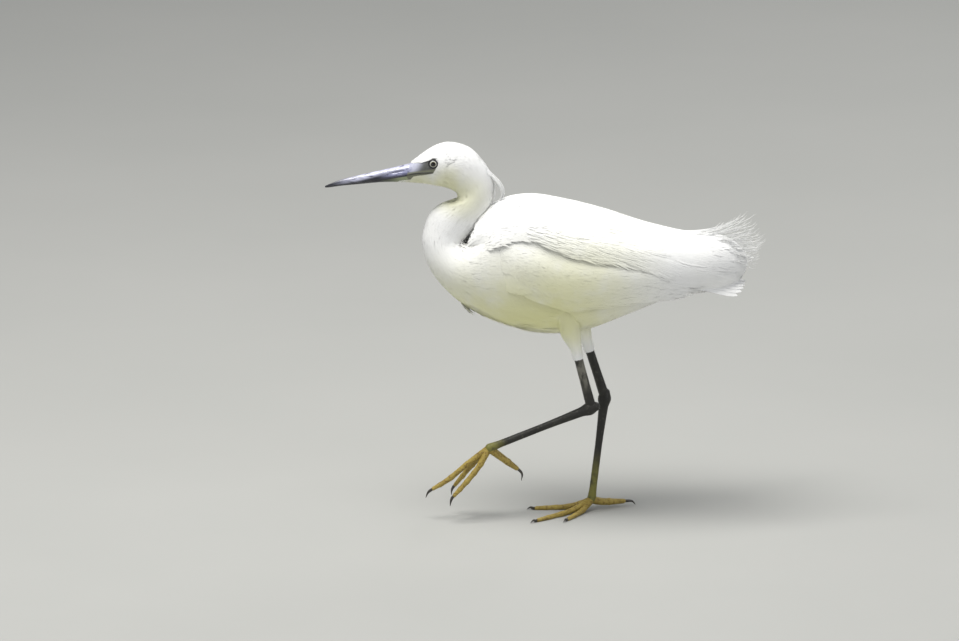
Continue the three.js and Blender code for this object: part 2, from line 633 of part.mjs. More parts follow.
// A claw starts beyond its toe's rounded end, in line with it, and then bends down to its tip.
function clawTube(toe, bend, tip) {
  const end = new THREE.Vector3(...toe[toe.length - 1]);
  const heading = new THREE.CatmullRomCurve3(toe.map((p) => new THREE.Vector3(...p))).getTangent(1);
  const start = end.clone().addScaledVector(heading, TOE_END_RADIUS * 0.6 + GAP);
  const next = start.clone().addScaledVector(heading, 1.6);
  const path = [start.toArray(), next.toArray(), bend, tip];
  return tube(path, [CLAW_RADIUS, CLAW_RADIUS * 0.95, CLAW_RADIUS * 0.7, 0.3], 6, 4);
}

for (const [side, leg] of Object.entries(LEGS)) {
  const thighEnd = leg.thigh[3];
  const knob = (extra) => ball(leg.foot, TARSUS_KNOB + extra);
  const ankle = (extra) => ball(leg.ankle, ANKLE_KNOB + extra);
  const middleOfTarsus = new THREE.Vector3(...leg.ankle).lerp(new THREE.Vector3(...leg.foot), 0.5).toArray();
  const tarsus = (extra) => tube([leg.ankle, middleOfTarsus, leg.foot], [6.2, 4.4, 3.5, 3.4, 4.1], 9, 4, extra);
  const thigh = (extra) => thighTube(leg.thigh, extra);
  add(`thigh_${side}`, fuse([thigh(0)], [bodyRoom]), PLUMAGE);
  add(
    `shank_${side}`,
    fuse([tube([leg.thigh[2], thighEnd, leg.ankle], [4.6, 4.7, 5], 9, 4)], [thigh(GAP), ankle(GAP), tarsus(GAP)]),
    LEG,
  );
  add(
    `tarsus_${side}`,
    fuse([tarsus(0), ankle(0), knob(0)], [floor]),
    LEG,
  );
  const middle = toeTube(leg.toes.middle, GAP);
  for (const [name, path] of Object.entries(leg.toes)) {
    const tools = [knob(GAP), floor, tarsus(GAP)];
    if (name !== "middle") tools.push(middle);
    if (name === "hallux") tools.push(toeTube(leg.toes.inner, GAP), toeTube(leg.toes.outer, GAP));
    if (name === "outer") tools.push(toeTube(leg.toes.inner, GAP));
    add(`toe_${side}_${name}`, fuse([toeTube(path)], tools), FOOT);
    add(`claw_${side}_${name}`, clawTube(path, ...leg.claws[name]), CLAW);
  }
}

export default model;
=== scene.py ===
# Little egret, life size, walking. Lengths are millimetres until a mesh is made, and then metres.
# Heights are counted from a level that is GROUND_DROP above the ground, and every mesh is raised by that.
import math

import bpy
import numpy as np
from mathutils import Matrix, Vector


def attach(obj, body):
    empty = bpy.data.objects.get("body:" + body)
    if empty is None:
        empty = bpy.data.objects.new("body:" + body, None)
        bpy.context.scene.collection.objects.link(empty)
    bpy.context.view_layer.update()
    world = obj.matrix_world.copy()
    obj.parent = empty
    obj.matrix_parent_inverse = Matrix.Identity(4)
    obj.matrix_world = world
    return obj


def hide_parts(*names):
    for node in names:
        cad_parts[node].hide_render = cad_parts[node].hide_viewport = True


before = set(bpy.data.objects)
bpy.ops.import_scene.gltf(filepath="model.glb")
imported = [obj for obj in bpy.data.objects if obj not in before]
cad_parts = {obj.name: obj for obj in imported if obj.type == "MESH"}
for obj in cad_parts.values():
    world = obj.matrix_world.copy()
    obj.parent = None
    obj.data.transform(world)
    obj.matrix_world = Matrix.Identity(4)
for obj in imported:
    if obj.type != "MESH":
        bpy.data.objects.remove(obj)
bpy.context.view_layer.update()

MM = 0.001
GROUND_DROP = 3.0
LOWEST = 0.05 - GROUND_DROP
DENSITY = 1.0
FINENESS = math.sqrt(DENSITY)
UP = np.array([0.0, 0.0, 1.0])
draw = np.random.default_rng(20)


# Curves and surfaces


def unit(v):
    return v / np.maximum(np.linalg.norm(v, axis=-1, keepdims=True), 1e-9)


def smoothstep(x, low, high):
    t = np.clip((np.asarray(x, float) - low) / (high - low), 0, 1)
    return t * t * (3 - 2 * t)


def curve(points):
    """A centripetal curve through points, read at shares of the way from 0 to 1."""
    pts = np.array(points, float)
    ext = np.vstack([2 * pts[0] - pts[1], pts, 2 * pts[-1] - pts[-2]])
    gap = np.maximum(np.linalg.norm(np.diff(ext, axis=0), axis=1), 1e-6) ** 0.5

    def at(share):
        t = np.clip(np.asarray(share, float), 0, 1) * (len(pts) - 1)
        i = np.minimum(t.astype(int), len(pts) - 2)
        w = (t - i)[..., None]
        a, b, c, d = ext[i], ext[i + 1], ext[i + 2], ext[i + 3]
        ga, gb, gc = gap[i][..., None], gap[i + 1][..., None], gap[i + 2][..., None]
        m = ((b - a) / ga - (c - a) / (ga + gb) + (c - b) / gb) * gb
        n = ((c - b) / gb - (d - b) / (gb + gc) + (d - c) / gc) * gb
        return b + m * w + (3 * c - 3 * b - 2 * m - n) * w**2 + (2 * b - 2 * c + m + n) * w**3

    return at


class Surface:
    """A sheet of points over two numbers: its points, outward side, and the length of a step of each."""

    def __init__(self, point, first, second, shape):
        self.first, self.second, self.shape = first, second, shape
        u = np.linspace(*first, shape[0])
        v = np.linspace(*second, shape[1])
        points = point(*np.meshgrid(u, v, indexing="ij"))
        along = np.gradient(points, u, axis=0)
        across = np.gradient(points, v, axis=1)
        out = unit(np.cross(along, across))
        sizes = [np.linalg.norm(d, axis=-1, keepdims=True) for d in (along, across)]
        self.area = np.linalg.norm(np.cross(along, across), axis=-1)
        self.table = np.concatenate([points, out, *sizes], axis=-1)

    def at(self, u, v):
        """Points, outward directions, and the two step lengths."""
        a = (np.asarray(u, float) - self.first[0]) / (self.first[1] - self.first[0]) * (self.shape[0] - 1)
        b = (np.asarray(v, float) - self.second[0]) / (self.second[1] - self.second[0]) * (self.shape[1] - 1)
        i = np.clip(a.astype(int), 0, self.shape[0] - 2)
        j = np.clip(b.astype(int), 0, self.shape[1] - 2)
        p = np.clip(a - i, 0, 1)[..., None]
        q = np.clip(b - j, 0, 1)[..., None]
        t = self.table
        near = t[i, j] * (1 - q) + t[i, j + 1] * q
        far = t[i + 1, j] * (1 - q) + t[i + 1, j + 1] * q
        found = near * (1 - p) + far * p
        return found[..., :3], unit(found[..., 3:6]), found[..., 6], found[..., 7]

    def facing(self, u, v, way):
        """The same surface, its outward side turned towards way at one place."""
        if np.dot(self.at(u, v)[1], way) < 0:
            self.table[..., 3:6] *= -1
        return self

    def map(self, u, v):
        """The place of a point on the unwrap of this surface."""
        a = (u - self.first[0]) / (self.first[1] - self.first[0])
        b = (v - self.second[0]) / (self.second[1] - self.second[0])
        return np.stack([0.02 + 0.95 * a, 0.02 + 0.95 * b], axis=-1)

    def scatter(self, spacing, wanted):
        """Evenly scattered places, about spacing apart, where wanted(u, v, points) is true."""
        cells = (self.area * wanted_share(self, wanted)).ravel()
        step = np.ptp(self.first) * np.ptp(self.second) / ((self.shape[0] - 1) * (self.shape[1] - 1))
        tries = int(3.5 * cells.sum() * step / spacing**2)
        if tries < 1:
            return np.zeros(0), np.zeros(0)
        at = draw.choice(len(cells), tries, p=cells / cells.sum())
        jitter = draw.random((2, tries))
        u = np.interp(at // self.shape[1] + jitter[0], [0, self.shape[0] - 1], self.first)
        v = np.interp(at % self.shape[1] + jitter[1], [0, self.shape[1] - 1], self.second)
        points = self.at(u, v)[0]
        keep = wanted(u, v, points)
        u, v, points = u[keep], v[keep], points[keep]
        cell = np.floor(points / spacing).astype(np.int64)
        _, one = np.unique(cell, axis=0, return_index=True)
        return u[one], v[one]


def wanted_share(surface, wanted):
    u = np.linspace(*surface.first, surface.shape[0])
    v = np.linspace(*surface.second, surface.shape[1])
    grid = np.meshgrid(u, v, indexing="ij")
    return wanted(*grid, surface.table[..., :3]).astype(float)


# Meshes


def make(name, points, faces, look, uv=None, normals=None, body="root"):
    """A piece from points in millimetres and arrays of faces. uv is each point's place on the unwrap."""
    mesh = bpy.data.meshes.new(name)
    faces = [np.asarray(f, np.int32) for f in faces if len(f)]
    counts = np.concatenate([np.full(len(f), f.shape[1], np.int32) for f in faces])
    corners = np.concatenate([f.ravel() for f in faces])
    mesh.vertices.add(len(points))
    placed = (np.asarray(points) + [0, 0, GROUND_DROP]) * MM
    mesh.vertices.foreach_set("co", placed.astype(np.float32).ravel())
    mesh.loops.add(len(corners))
    mesh.loops.foreach_set("vertex_index", corners)
    mesh.polygons.add(len(counts))
    mesh.polygons.foreach_set("loop_start", np.concatenate([[0], np.cumsum(counts)[:-1]]).astype(np.int32))
    mesh.update(calc_edges=True)
    mesh.polygons.foreach_set("use_smooth", np.ones(len(counts), bool))
    if uv is not None:
        layer = mesh.uv_layers.new(name="OFBake")
        layer.data.foreach_set("uv", uv[corners].astype(np.float32).ravel())
    if normals is not None:
        mesh.normals_split_custom_set_from_vertices(normals.astype(np.float32))
    mesh.materials.append(look)
    piece = bpy.data.objects.new(name, mesh)
    bpy.context.scene.collection.objects.link(piece)
    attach(piece, body)
    return piece


class Pile:
    """Many closed pieces gathered into one mesh."""

    def __init__(self):
        self.points, self.quads, self.tris, self.uv, self.normals = [], [], [], [], []
        self.count = 0

    def add(self, points, quads, tris, uv, normals):
        self.points.append(points)
        self.quads.append(np.asarray(quads, int).reshape(-1, 4) + self.count)
        self.tris.append(np.asarray(tris, int).reshape(-1, 3) + self.count)
        self.uv.append(uv)
        self.normals.append(normals)
        self.count += len(points)

    def mirror(self):
        other = Pile()
        flip = np.array([1, -1, 1])
        other.points = [p * flip for p in self.points]
        other.normals = [n * flip for n in self.normals]
        other.quads = [q[:, ::-1] for q in self.quads]
        other.tris = [t[:, ::-1] for t in self.tris]
        other.uv, other.count = self.uv, self.count
        return other

    def make(self, name, look):
        faces = [np.concatenate(self.quads), np.concatenate(self.tris)]
        points, uv, normals = (np.concatenate(part) for part in (self.points, self.uv, self.normals))
        return make(name, points, faces, look, uv, normals)


def grid_faces(rows, columns, around=False):
    """Quads of a grid of rows by columns, closed around its columns if asked."""
    index = np.arange(rows * columns).reshape(rows, columns)
    if around:
        index = np.concatenate([index, index[:, :1]], axis=1)
    return np.stack([index[:-1, :-1], index[:-1, 1:], index[1:, 1:], index[1:, :-1]], axis=-1).reshape(-1, 4)


def outward(points, quads, tris):
    """Turns the faces of a closed piece so that they look outwards."""
    p = points - points.mean(axis=0)
    volume = 0
    for f in (quads[:, :3], quads[:, [0, 2, 3]], tris):
        if len(f):
            volume += np.einsum("ij,ij->", p[f[:, 0]], np.cross(p[f[:, 1]], p[f[:, 2]]))
    return (quads, tris) if volume > 0 else (quads[:, ::-1], tris[:, ::-1])


def slab(top, under):
    """A closed sheet between two grids of points: its points and quads."""
    rows, columns = top.shape[:2]
    layer = rows * columns
    faces = grid_faces(rows, columns)
    index = np.arange(layer).reshape(rows, columns)
    rim = np.concatenate([index[0], index[1:, -1], index[-1, -2::-1], index[-2:0:-1, 0]])
    following = np.roll(rim, -1)
    wall = np.stack([rim, layer + rim, layer + following, following], axis=-1)
    points = np.concatenate([top.reshape(-1, 3), under.reshape(-1, 3)])
    quads = np.concatenate([faces, faces[:, ::-1] + layer, wall])
    return points, outward(points, quads, np.zeros((0, 3), int))[0]


def loft(rings):
    """A closed surface through rings, with a fan over each end: points, quads and triangles."""
    rings = np.asarray(rings)
    rows, columns = rings.shape[:2]
    points = np.concatenate([rings.reshape(-1, 3), rings[:1].mean(axis=1), rings[-1:].mean(axis=1)])
    ring = np.arange(columns)
    following = np.roll(ring, -1)
    last = (rows - 1) * columns
    start = np.full(columns, rows * columns)
    tris = np.concatenate([
        np.stack([start, following, ring], axis=-1),
        np.stack([start + 1, last + ring, last + following], axis=-1),
    ])
    quads, tris = outward(points, grid_faces(rows, columns, True), tris)
    return points, quads, tris


def frames_along(centres):
    """Two directions across a path at each of its points, that don't twist."""
    forward = unit(np.gradient(centres, axis=0))
    first = unit(np.cross(forward[0], [0, 1, 0.01]))
    sides = [first]
    for k in range(1, len(forward)):
        turned = sides[-1] - forward[k] * np.dot(sides[-1], forward[k])
        sides.append(turned / np.linalg.norm(turned))
    sides = np.array(sides)
    return forward, sides, np.cross(forward, sides)


def sweep(path, radii, sides=24, steps=60, relief=None, flat=1.0):
    """A tube along a smooth path with rounded ends. radii are at equal shares of the way, relief(s, angle)
    adds to the radius, and flat squeezes it sideways."""
    s = np.linspace(0, 1, steps + 1)
    centres = curve(path)(s)
    radius = curve([[r] for r in radii])(s)[:, 0]
    forward, up, side = frames_along(centres)
    cap = np.array([0.95, 0.75, 0.4])
    angle = np.arange(sides) / sides * 2 * math.pi
    ring = radius[:, None] + (relief(s[:, None], angle[None, :]) if relief else 0 * angle[None, :])
    rings = centres[:, None] + ring[..., None] * (
        np.cos(angle)[None, :, None] * up[:, None] + flat * np.sin(angle)[None, :, None] * side[:, None]
    )
    ends = []
    for at, way in ((0, -1), (-1, 1)):
        for share in cap:
            away = way * radius[at] * 0.8 * math.sqrt(1 - share**2)
            ends.append(centres[at] + forward[at] * away + (rings[at] - centres[at]) * share)
    return loft(np.concatenate([ends[2::-1], rings, ends[3:]]))


def tube(name, look, *args, floor=False, **rest):
    points, quads, tris = sweep(*args, **rest)
    if floor:
        points[:, 2] = np.maximum(points[:, 2], LOWEST)
    return make(name, points, [quads, tris], look)


# How thick a lock is against its width, and the size of a tuft's patch on the unwrap.
LOCK_THICKNESS = 0.12
PATCH = 0.0022


def add_prisms(pile, corners, lean, tips, tip_normals, roots):
    """Tapered prisms with three corners at each station, (count, stations, 3, 3), that end in a point."""
    n, stations = corners.shape[:2]
    points = np.concatenate([corners.reshape(n, -1, 3), tips], axis=1)
    normals = np.concatenate([lean.reshape(n, -1, 3), tip_normals], axis=1)
    each = points.shape[1]
    tip, last = each - 1, each - 4
    tris = np.array([[0, 2, 1], [tip, last, last + 1], [tip, last + 1, last + 2], [tip, last + 2, last]])
    quads, tris = outward(points[0], grid_faces(stations, 3, True), tris)
    start = (np.arange(n) * each)[:, None, None]
    local = np.stack(np.meshgrid(np.linspace(0, 1, stations), [-0.5, 0, 0.5], indexing="ij"), axis=-1)
    local = np.concatenate([local.reshape(-1, 2), [[1.2, 0]]])
    uv = roots[:, None] + PATCH * local[None]
    pile.add(
        points.reshape(-1, 3),
        (quads[None] + start).reshape(-1, 4),
        (tris[None] + start).reshape(-1, 3),
        uv.reshape(-1, 2),
        unit(normals.reshape(-1, 3)),
    )


# A lock is a slim closed prism with a ridge, that tapers to a point and follows the surface it grows on.
def lock_pile(pile, surface, u, v, heading, length, width, heights, soft=0.15, shares=(0.8, 1, 0.75)):
    """heights are over the surface at the root, along the way and at the tip, one array or number each."""
    n, stations = len(u), len(heights)
    if n == 0:
        return
    centres, outs = [], []
    pu, pv = np.array(u, float), np.array(v, float)
    for k in range(stations):
        points, out, du, dv = surface.at(pu, pv % (2 * math.pi) if surface is body else pv)
        centres.append(points + out * np.broadcast_to(heights[k], n)[:, None])
        outs.append(out)
        pu = pu + np.cos(heading) * length / (stations - 1) / np.maximum(du, 0.2)
        pv = pv + np.sin(heading) * length / (stations - 1) / np.maximum(dv, 0.2)
    centres, outs = np.stack(centres, 1), np.stack(outs, 1)
    side = unit(np.cross(outs, unit(np.gradient(centres, axis=1))))[:, :-1]
    half = (np.broadcast_to(width, n)[:, None] * np.asarray(shares)[None, :])[..., None] / 2
    rows, up = centres[:, :-1], outs[:, :-1]
    ridge = rows + up * half * 2 * LOCK_THICKNESS
    corners = np.stack([rows - side * half, ridge, rows + side * half], axis=2)
    lean = np.stack([up - soft * side, up, up + soft * side], axis=2)
    roots = surface.map(np.asarray(u), np.asarray(v))
    add_prisms(pile, corners, lean, centres[:, -1:], outs[:, -1:], roots)


# A strand is a free tapered filament along given centres, (count, stations, 3), with its own way out.
def strand_pile(pile, centres, width, roots, shares, out=(0, 0, 1)):
    forward = unit(np.gradient(centres, axis=1))
    side = unit(np.cross(np.broadcast_to(np.asarray(out, float), centres.shape), forward))
    up = unit(np.cross(forward, side))
    half = (np.broadcast_to(width, len(centres))[:, None] * np.asarray(shares)[None])[..., None] / 2
    rows, rise, side = centres[:, :-1], up[:, :-1], side[:, :-1]
    low = rise * half * 0.5
    corners = np.stack([rows - side * half - low, rows + rise * half * 0.8, rows + side * half - low], axis=2)
    lean = np.stack([rise * -0.5 - side, rise, rise * -0.5 + side], axis=2)
    add_prisms(pile, corners, lean, centres[:, -1:], up[:, -1:], roots)


# Outlines of feathers, as width by share of the length, and how deep a feather's root is.
ROUND = [(0, 0.45), (0.12, 0.8), (0.4, 1), (0.75, 0.98), (0.9, 0.78), (0.97, 0.45), (1, 0.12)]
LONG = [(0, 0.5), (0.15, 0.85), (0.45, 1), (0.75, 0.8), (0.9, 0.5), (0.97, 0.26), (1, 0.06)]
QUILL_DEPTH = 1.2


def vane_pile(pile, surface, root, tip, width, lift, shape=ROUND, tilt=0.22, thick=0.16, splits=2):
    """One feather on a surface, from root to tip, with a shaft, a rounded or lanced end and split edges."""
    rows, columns = 20, 7
    s = np.linspace(0, 1, rows)
    side = np.linspace(-1, 1, columns)
    outline = np.interp(s, *zip(*shape))[:, None] * np.ones(columns)[None]
    for place in draw.uniform(0.55, 0.95, splits):
        edge = draw.choice([-1, 1])
        notch = 0.3 * np.exp(-(((s - place) / 0.025) ** 2))[:, None]
        outline *= 1 - notch * np.clip(side * edge, 0, 1)[None]
    middle_u = root[0] + (tip[0] - root[0]) * s
    middle_v = root[1] + (tip[1] - root[1]) * s
    _, _, du, dv = surface.at(middle_u, middle_v)
    run = np.gradient(middle_u) * du
    climb = np.gradient(middle_v) * dv
    length = np.hypot(run, climb)
    half = outline * side[None] * width / 2
    u = middle_u[:, None] - (climb / length / du)[:, None] * half
    v = middle_v[:, None] + (run / length / dv)[:, None] * half
    points, out, _, _ = surface.at(u, v)
    rise = (lift[0] + (lift[1] - lift[0]) * s**0.6)[:, None]
    height = rise + tilt * side[None] + 0.25 * (1 - side[None] ** 2)
    shaft = 0.16 * np.exp(-((side / 0.12) ** 2))[None] * (1 - s)[:, None] ** 0.5
    depth = thick + (QUILL_DEPTH - thick) * np.clip(1 - s * 1.6, 0, 1)[:, None] * np.ones(columns)[None]
    top = points + out * (height + shaft)[..., None]
    under = points + out * (height - depth)[..., None]
    normal = unit(np.cross(np.gradient(top, axis=0), np.gradient(top, axis=1)))
    normal *= np.sign(np.einsum("ijk,ijk->ij", normal, out))[..., None]
    normal = unit(normal * 0.4 + out * 0.6)
    local = np.stack(np.meshgrid(s, side / 2, indexing="ij"), axis=-1).reshape(-1, 2)
    uv = surface.map(np.array([root[0]]), np.array([root[1]])) + 0.003 * np.concatenate([local, local])
    normals = np.concatenate([normal.reshape(-1, 3), -normal.reshape(-1, 3)])
    pile.add(*slab(top, under), [], uv, normals)


def tier(pile, surface, count, root, tip, width, lift, **rest):
    """A row of feathers from the first one's root and tip to the last one's, a little uneven."""
    for n in range(count):
        share = n / max(count - 1, 1)
        at = np.array(root[0]) + (np.array(root[1]) - np.array(root[0])) * share
        to = np.array(tip[0]) + (np.array(tip[1]) - np.array(tip[0])) * share
        to = to + draw.normal(0, [1.2, 0.6])
        vane_pile(pile, surface, at, to, width * draw.uniform(0.94, 1.06), lift, **rest)


# Materials


class Look:
    """A procedural material: node() adds a node and gives its first output."""

    def __init__(self, name, **values):
        self.material = bpy.data.materials.new(name)
        self.material.use_nodes = True
        self.tree = self.material.node_tree
        self.shader = self.tree.nodes["Principled BSDF"]
        self.set(**values)
        place = self.tree.nodes.new("ShaderNodeTexCoord").outputs["Object"]
        self.place = self.node("VectorMath", place, (0.0, 0.0, GROUND_DROP * MM), operation="SUBTRACT")

    def set(self, **values):
        for key, value in values.items():
            self.shader.inputs[key.replace("_", " ")].default_value = value

    def node(self, kind, *inputs, out=0, **settings):
        made = self.tree.nodes.new("ShaderNode" + kind)
        for key, value in settings.items():
            setattr(made, key, value)
        for slot, value in enumerate(inputs):
            if isinstance(value, tuple) and isinstance(value[0], str):
                slot, value = value
            if value is None:
                continue
            if isinstance(value, bpy.types.NodeSocket):
                self.tree.links.new(value, made.inputs[slot])
            else:
                made.inputs[slot].default_value = value
        return made.outputs[out]

    def math(self, operation, *inputs):
        return self.node("Math", *inputs, operation=operation)

    def noise(self, scale, detail=3, stretch=None):
        place = self.place
        if stretch:
            place = self.node("Mapping", place, ("Scale", stretch))
        return self.node("TexNoise", ("Vector", place), ("Scale", scale), ("Detail", detail))

    def ramp(self, value, low, high):
        """0 at low and 1 at high, smoothly."""
        limits = ("From Min", low), ("From Max", high)
        return self.node("MapRange", value, *limits, interpolation_type="SMOOTHSTEP", clamp=True)

    def mix(self, share, first, second):
        made = self.tree.nodes.new("ShaderNodeMix")
        made.data_type = "RGBA"
        for slot, value in ((0, share), (6, first), (7, second)):
            if isinstance(value, bpy.types.NodeSocket):
                self.tree.links.new(value, made.inputs[slot])
            else:
                made.inputs[slot].default_value = (*value, 1) if isinstance(value, tuple) else value
        return made.outputs[2]

    def near(self, point, inner, outer):
        """1 within inner millimetres of a point, and 0 beyond outer."""
        target = tuple(c * MM for c in point)
        distance = self.node("VectorMath", self.place, target, operation="DISTANCE", out=1)
        return self.ramp(distance, outer * MM, inner * MM)

    def bump(self, height, strength, distance):
        link = self.node("Bump", ("Strength", strength), ("Distance", distance * MM), ("Height", height))
        self.tree.links.new(link, self.shader.inputs["Normal"])

    def colour(self, socket):
        self.tree.links.new(socket, self.shader.inputs["Base Color"])

    def axes(self):
        """How far along the bird and how high a place is, in metres."""
        return [self.node("SeparateXYZ", self.place, out=k) for k in (0, 2)]

    def scales(self, scale, distance):
        cells = self.node("TexVoronoi", ("Vector", self.place), ("Scale", scale), feature="DISTANCE_TO_EDGE")
        self.bump(self.ramp(cells, 0.0, 0.12), 0.5, distance)


def plumage_look(name, skin=False):
    look = Look(name, Roughness=0.8, Sheen_Weight=0.15, Sheen_Roughness=0.4, Specular_IOR_Level=0.25)
    x, z = look.axes()
    white = look.mix(look.noise(35, 4), (0.86, 0.865, 0.87), (0.93, 0.925, 0.905))
    fine = look.noise(900, 2, (0.35, 1, 1))
    white = look.mix(look.math("MULTIPLY", fine, 0.25), white, (0.8, 0.81, 0.82))
    # Painted reflection: yellow-green light from plants below, laid on the lower breast and belly, the cheek,
    # throat and chin, patchy with noise.
    height = look.math("MULTIPLY_ADD", x, -0.30, z)
    low = look.ramp(height, 0.320, 0.205)
    front = look.ramp(x, 0.14, 0.0)
    breast = look.math("MULTIPLY", low, front)
    breast = look.math("MULTIPLY", breast, look.ramp(z, 0.160, 0.200))
    cheek = look.math("MULTIPLY", look.near((-94, 0, 345), 12, 28), 0.7)
    throat = look.math("MULTIPLY", look.near((-82, 0, 330), 12, 36), 0.6)
    chin = look.math("MULTIPLY", look.near((-122, 0, 342), 8, 26), 0.65)
    painted_green_reflection = look.math("MAXIMUM", look.math("MAXIMUM", breast, throat), look.math("MAXIMUM", cheek, chin))
    painted_green_reflection = look.math("MULTIPLY", painted_green_reflection, look.ramp(look.noise(45, 3), -0.2, 0.6))
    tinted = look.mix(painted_green_reflection, white, (0.78, 0.77, 0.42))
    if skin:
        mask = look.ramp(node_face_distance(look, x, z), 0.0006, -0.0004)
        mask = look.math("MULTIPLY", mask, look.ramp(x, -0.098, -0.101))
        tinted = look.mix(mask, tinted, bare_skin(look, x, z))
    look.colour(tinted)
    look.bump(look.noise(1400, 2, (0.3, 1, 1)), 0.25, 0.15)
    return look.material


# Bare skin runs from the bill's base to the eye, seen from the side: below two upper lines, (x, z, slope),
# above the feathers' edge, which steps up behind the bill, and before a slanted line under the eye.
FACE_TOP = ((-139.5, 359.8, 0.2), (-121.8, 363.4, 0.42))
FEATHER_EDGE = ((-139.5, 344.7, 0.1), (-130.5, 348.9, 0.22))
EDGE_STEP = (-133.5, -129.5)
FACE_BACK = (-109.5, 355.0, 0.56)
FACE_LIMITS = (-107.6, 367.9)
FACE_END = -100


def on_line(line, x):
    return line[1] + line[2] * (x - line[0])


def feather_edge(x):
    step = smoothstep(x, *EDGE_STEP)
    return on_line(FEATHER_EDGE[0], x) * (1 - step) + on_line(FEATHER_EDGE[1], x) * step


def face_distance(x, z):
    """Millimetres outside the bare skin of the face, seen from the side; negative inside."""
    top = np.maximum(on_line(FACE_TOP[0], x), on_line(FACE_TOP[1], x))
    back = x - FACE_BACK[0] - FACE_BACK[2] * (z - FACE_BACK[1])
    limits = np.maximum(x - FACE_LIMITS[0], z - FACE_LIMITS[1])
    return np.maximum(np.maximum(np.maximum(z - top, feather_edge(x) - z), back), limits)


def rise_line(look, line, x):
    return look.math("MULTIPLY_ADD", x, line[2], (line[1] - line[2] * line[0]) * MM)


def node_feather_edge(look, x):
    first, second = (rise_line(look, line, x) for line in FEATHER_EDGE)
    step = look.ramp(x, EDGE_STEP[0] * MM, EDGE_STEP[1] * MM)
    return look.math("MULTIPLY_ADD", look.math("SUBTRACT", second, first), step, first)


def node_face_distance(look, x, z):
    """The same distance in the material, in metres."""
    top = look.math("MAXIMUM", *(rise_line(look, line, x) for line in FACE_TOP))
    over = look.math("SUBTRACT", z, top)
    under = look.math("SUBTRACT", node_feather_edge(look, x), z)
    slant = look.math("MULTIPLY_ADD", z, -FACE_BACK[2], (FACE_BACK[2] * FACE_BACK[1] - FACE_BACK[0]) * MM)
    distance = look.math("MAXIMUM", look.math("MAXIMUM", over, under), look.math("ADD", x, slant))
    for place, limit in zip((x, z), FACE_LIMITS):
        distance = look.math("MAXIMUM", distance, look.math("SUBTRACT", place, limit * MM))
    return distance


# The bill's upper line, seen from the side, and the line where its halves meet behind.
CULMEN_LINE = (-218.0, 337.0, 0.292)
GAPE_LINE = (-137.5, 349.3, 0.18)


def base_horn(look, x, z):
    """The mottled lilac at the bill's base: its own lilac, paler above where the sky's reflection along the
    culmen is painted on, navy towards the mouth, olive below it.
    """
    depth = look.math("SUBTRACT", rise_line(look, CULMEN_LINE, x), z)
    tone = look.mix(look.ramp(depth, 0.0025, 0.0065), (0.50, 0.51, 0.64), (0.26, 0.27, 0.41))
    spots = look.math("MULTIPLY", look.ramp(look.noise(480, 4, (0.6, 1, 1)), 0.50, 0.60), 0.75)
    tone = look.mix(spots, tone, (0.10, 0.10, 0.19))
    over = look.math("SUBTRACT", z, rise_line(look, GAPE_LINE, x))
    tone = look.mix(look.ramp(over, 0.0026, 0.0006), tone, (0.05, 0.05, 0.085))
    olive = look.mix(look.ramp(x, -0.156, -0.138), (0.055, 0.068, 0.040), (0.30, 0.34, 0.20))
    olive = look.mix(look.math("MULTIPLY", look.noise(500, 3), 0.5), olive, (0.16, 0.18, 0.09))
    return look.mix(look.ramp(over, -0.0002, -0.0012), tone, olive)


def bare_skin(look, x, z):
    """Like the bill in front, paler lilac behind it, its light blotches partly a painted sheen highlight,
    dark grey around the eye.
    """
    pale = look.mix(look.noise(380, 4), (0.36, 0.37, 0.47), (0.56, 0.57, 0.67))
    tone = look.mix(look.ramp(x, -0.136, -0.129), base_horn(look, x, z), pale)
    dark = look.mix(look.noise(520, 4), (0.065, 0.066, 0.064), (0.15, 0.155, 0.15))
    slanted = look.math("MULTIPLY_ADD", z, -0.5, x)
    tone = look.mix(look.ramp(slanted, -0.3085, -0.2985), tone, dark)
    # Darker grey-green along the gape: the skin's own olive there, and under the eye painted shade.
    low = look.math("SUBTRACT", z, rise_line(look, (-137.5, 350.2, 0.2), x))
    return look.mix(look.ramp(low, 0.0032, 0.0010), tone, (0.20, 0.205, 0.15))


# Where the toes of the lifted and the planted foot meet.
FOOT_PLACES = ((-54.5, -24, 71), (48.5, 12, 7.2))


def leg_look():
    look = Look("leg_skin", Roughness=0.42, Specular_IOR_Level=0.4)
    dark = look.mix(look.noise(90, 5), (0.007, 0.007, 0.006), (0.030, 0.029, 0.023))
    worn = look.ramp(look.noise(260, 4), 0.56, 0.72)
    dark = look.mix(look.math("MULTIPLY", worn, 0.4), dark, (0.10, 0.095, 0.07))
    patchy = look.ramp(look.noise(240, 5, (1, 1, 0.5)), 0.3, 0.6)
    pale = look.math("MULTIPLY", look.near((34, -24, 150), 8, 26), patchy)
    dark = look.mix(look.math("MULTIPLY", pale, 0.8), dark, (0.21, 0.20, 0.165))
    near = look.math("MAXIMUM", look.near(FOOT_PLACES[0], 4, 22), look.near(FOOT_PLACES[1], 14, 56))
    near = look.math("MULTIPLY", near, look.ramp(look.noise(130, 5), 0.25, 0.58))
    look.colour(look.mix(near, dark, (0.19, 0.18, 0.04)))
    look.scales(620, 0.25)
    return look.material


def foot_look():
    look = Look("foot_skin", Roughness=0.5, Specular_IOR_Level=0.45)
    olive = look.mix(look.noise(90, 5), (0.20, 0.135, 0.018), (0.50, 0.38, 0.09))
    olive = look.mix(look.ramp(look.noise(420, 4), 0.50, 0.66), olive, (0.20, 0.13, 0.025))
    look.colour(olive)
    look.scales(760, 0.22)
    return look.material


def claw_look():
    look = Look("claw_horn", Roughness=0.3, Specular_IOR_Level=0.5, Coat_Weight=0.2)
    look.colour(look.mix(look.noise(260, 3, (0.4, 1, 1)), (0.012, 0.011, 0.010), (0.055, 0.046, 0.034)))
    look.bump(look.noise(900, 2, (0.2, 1, 1)), 0.2, 0.1)
    return look.material


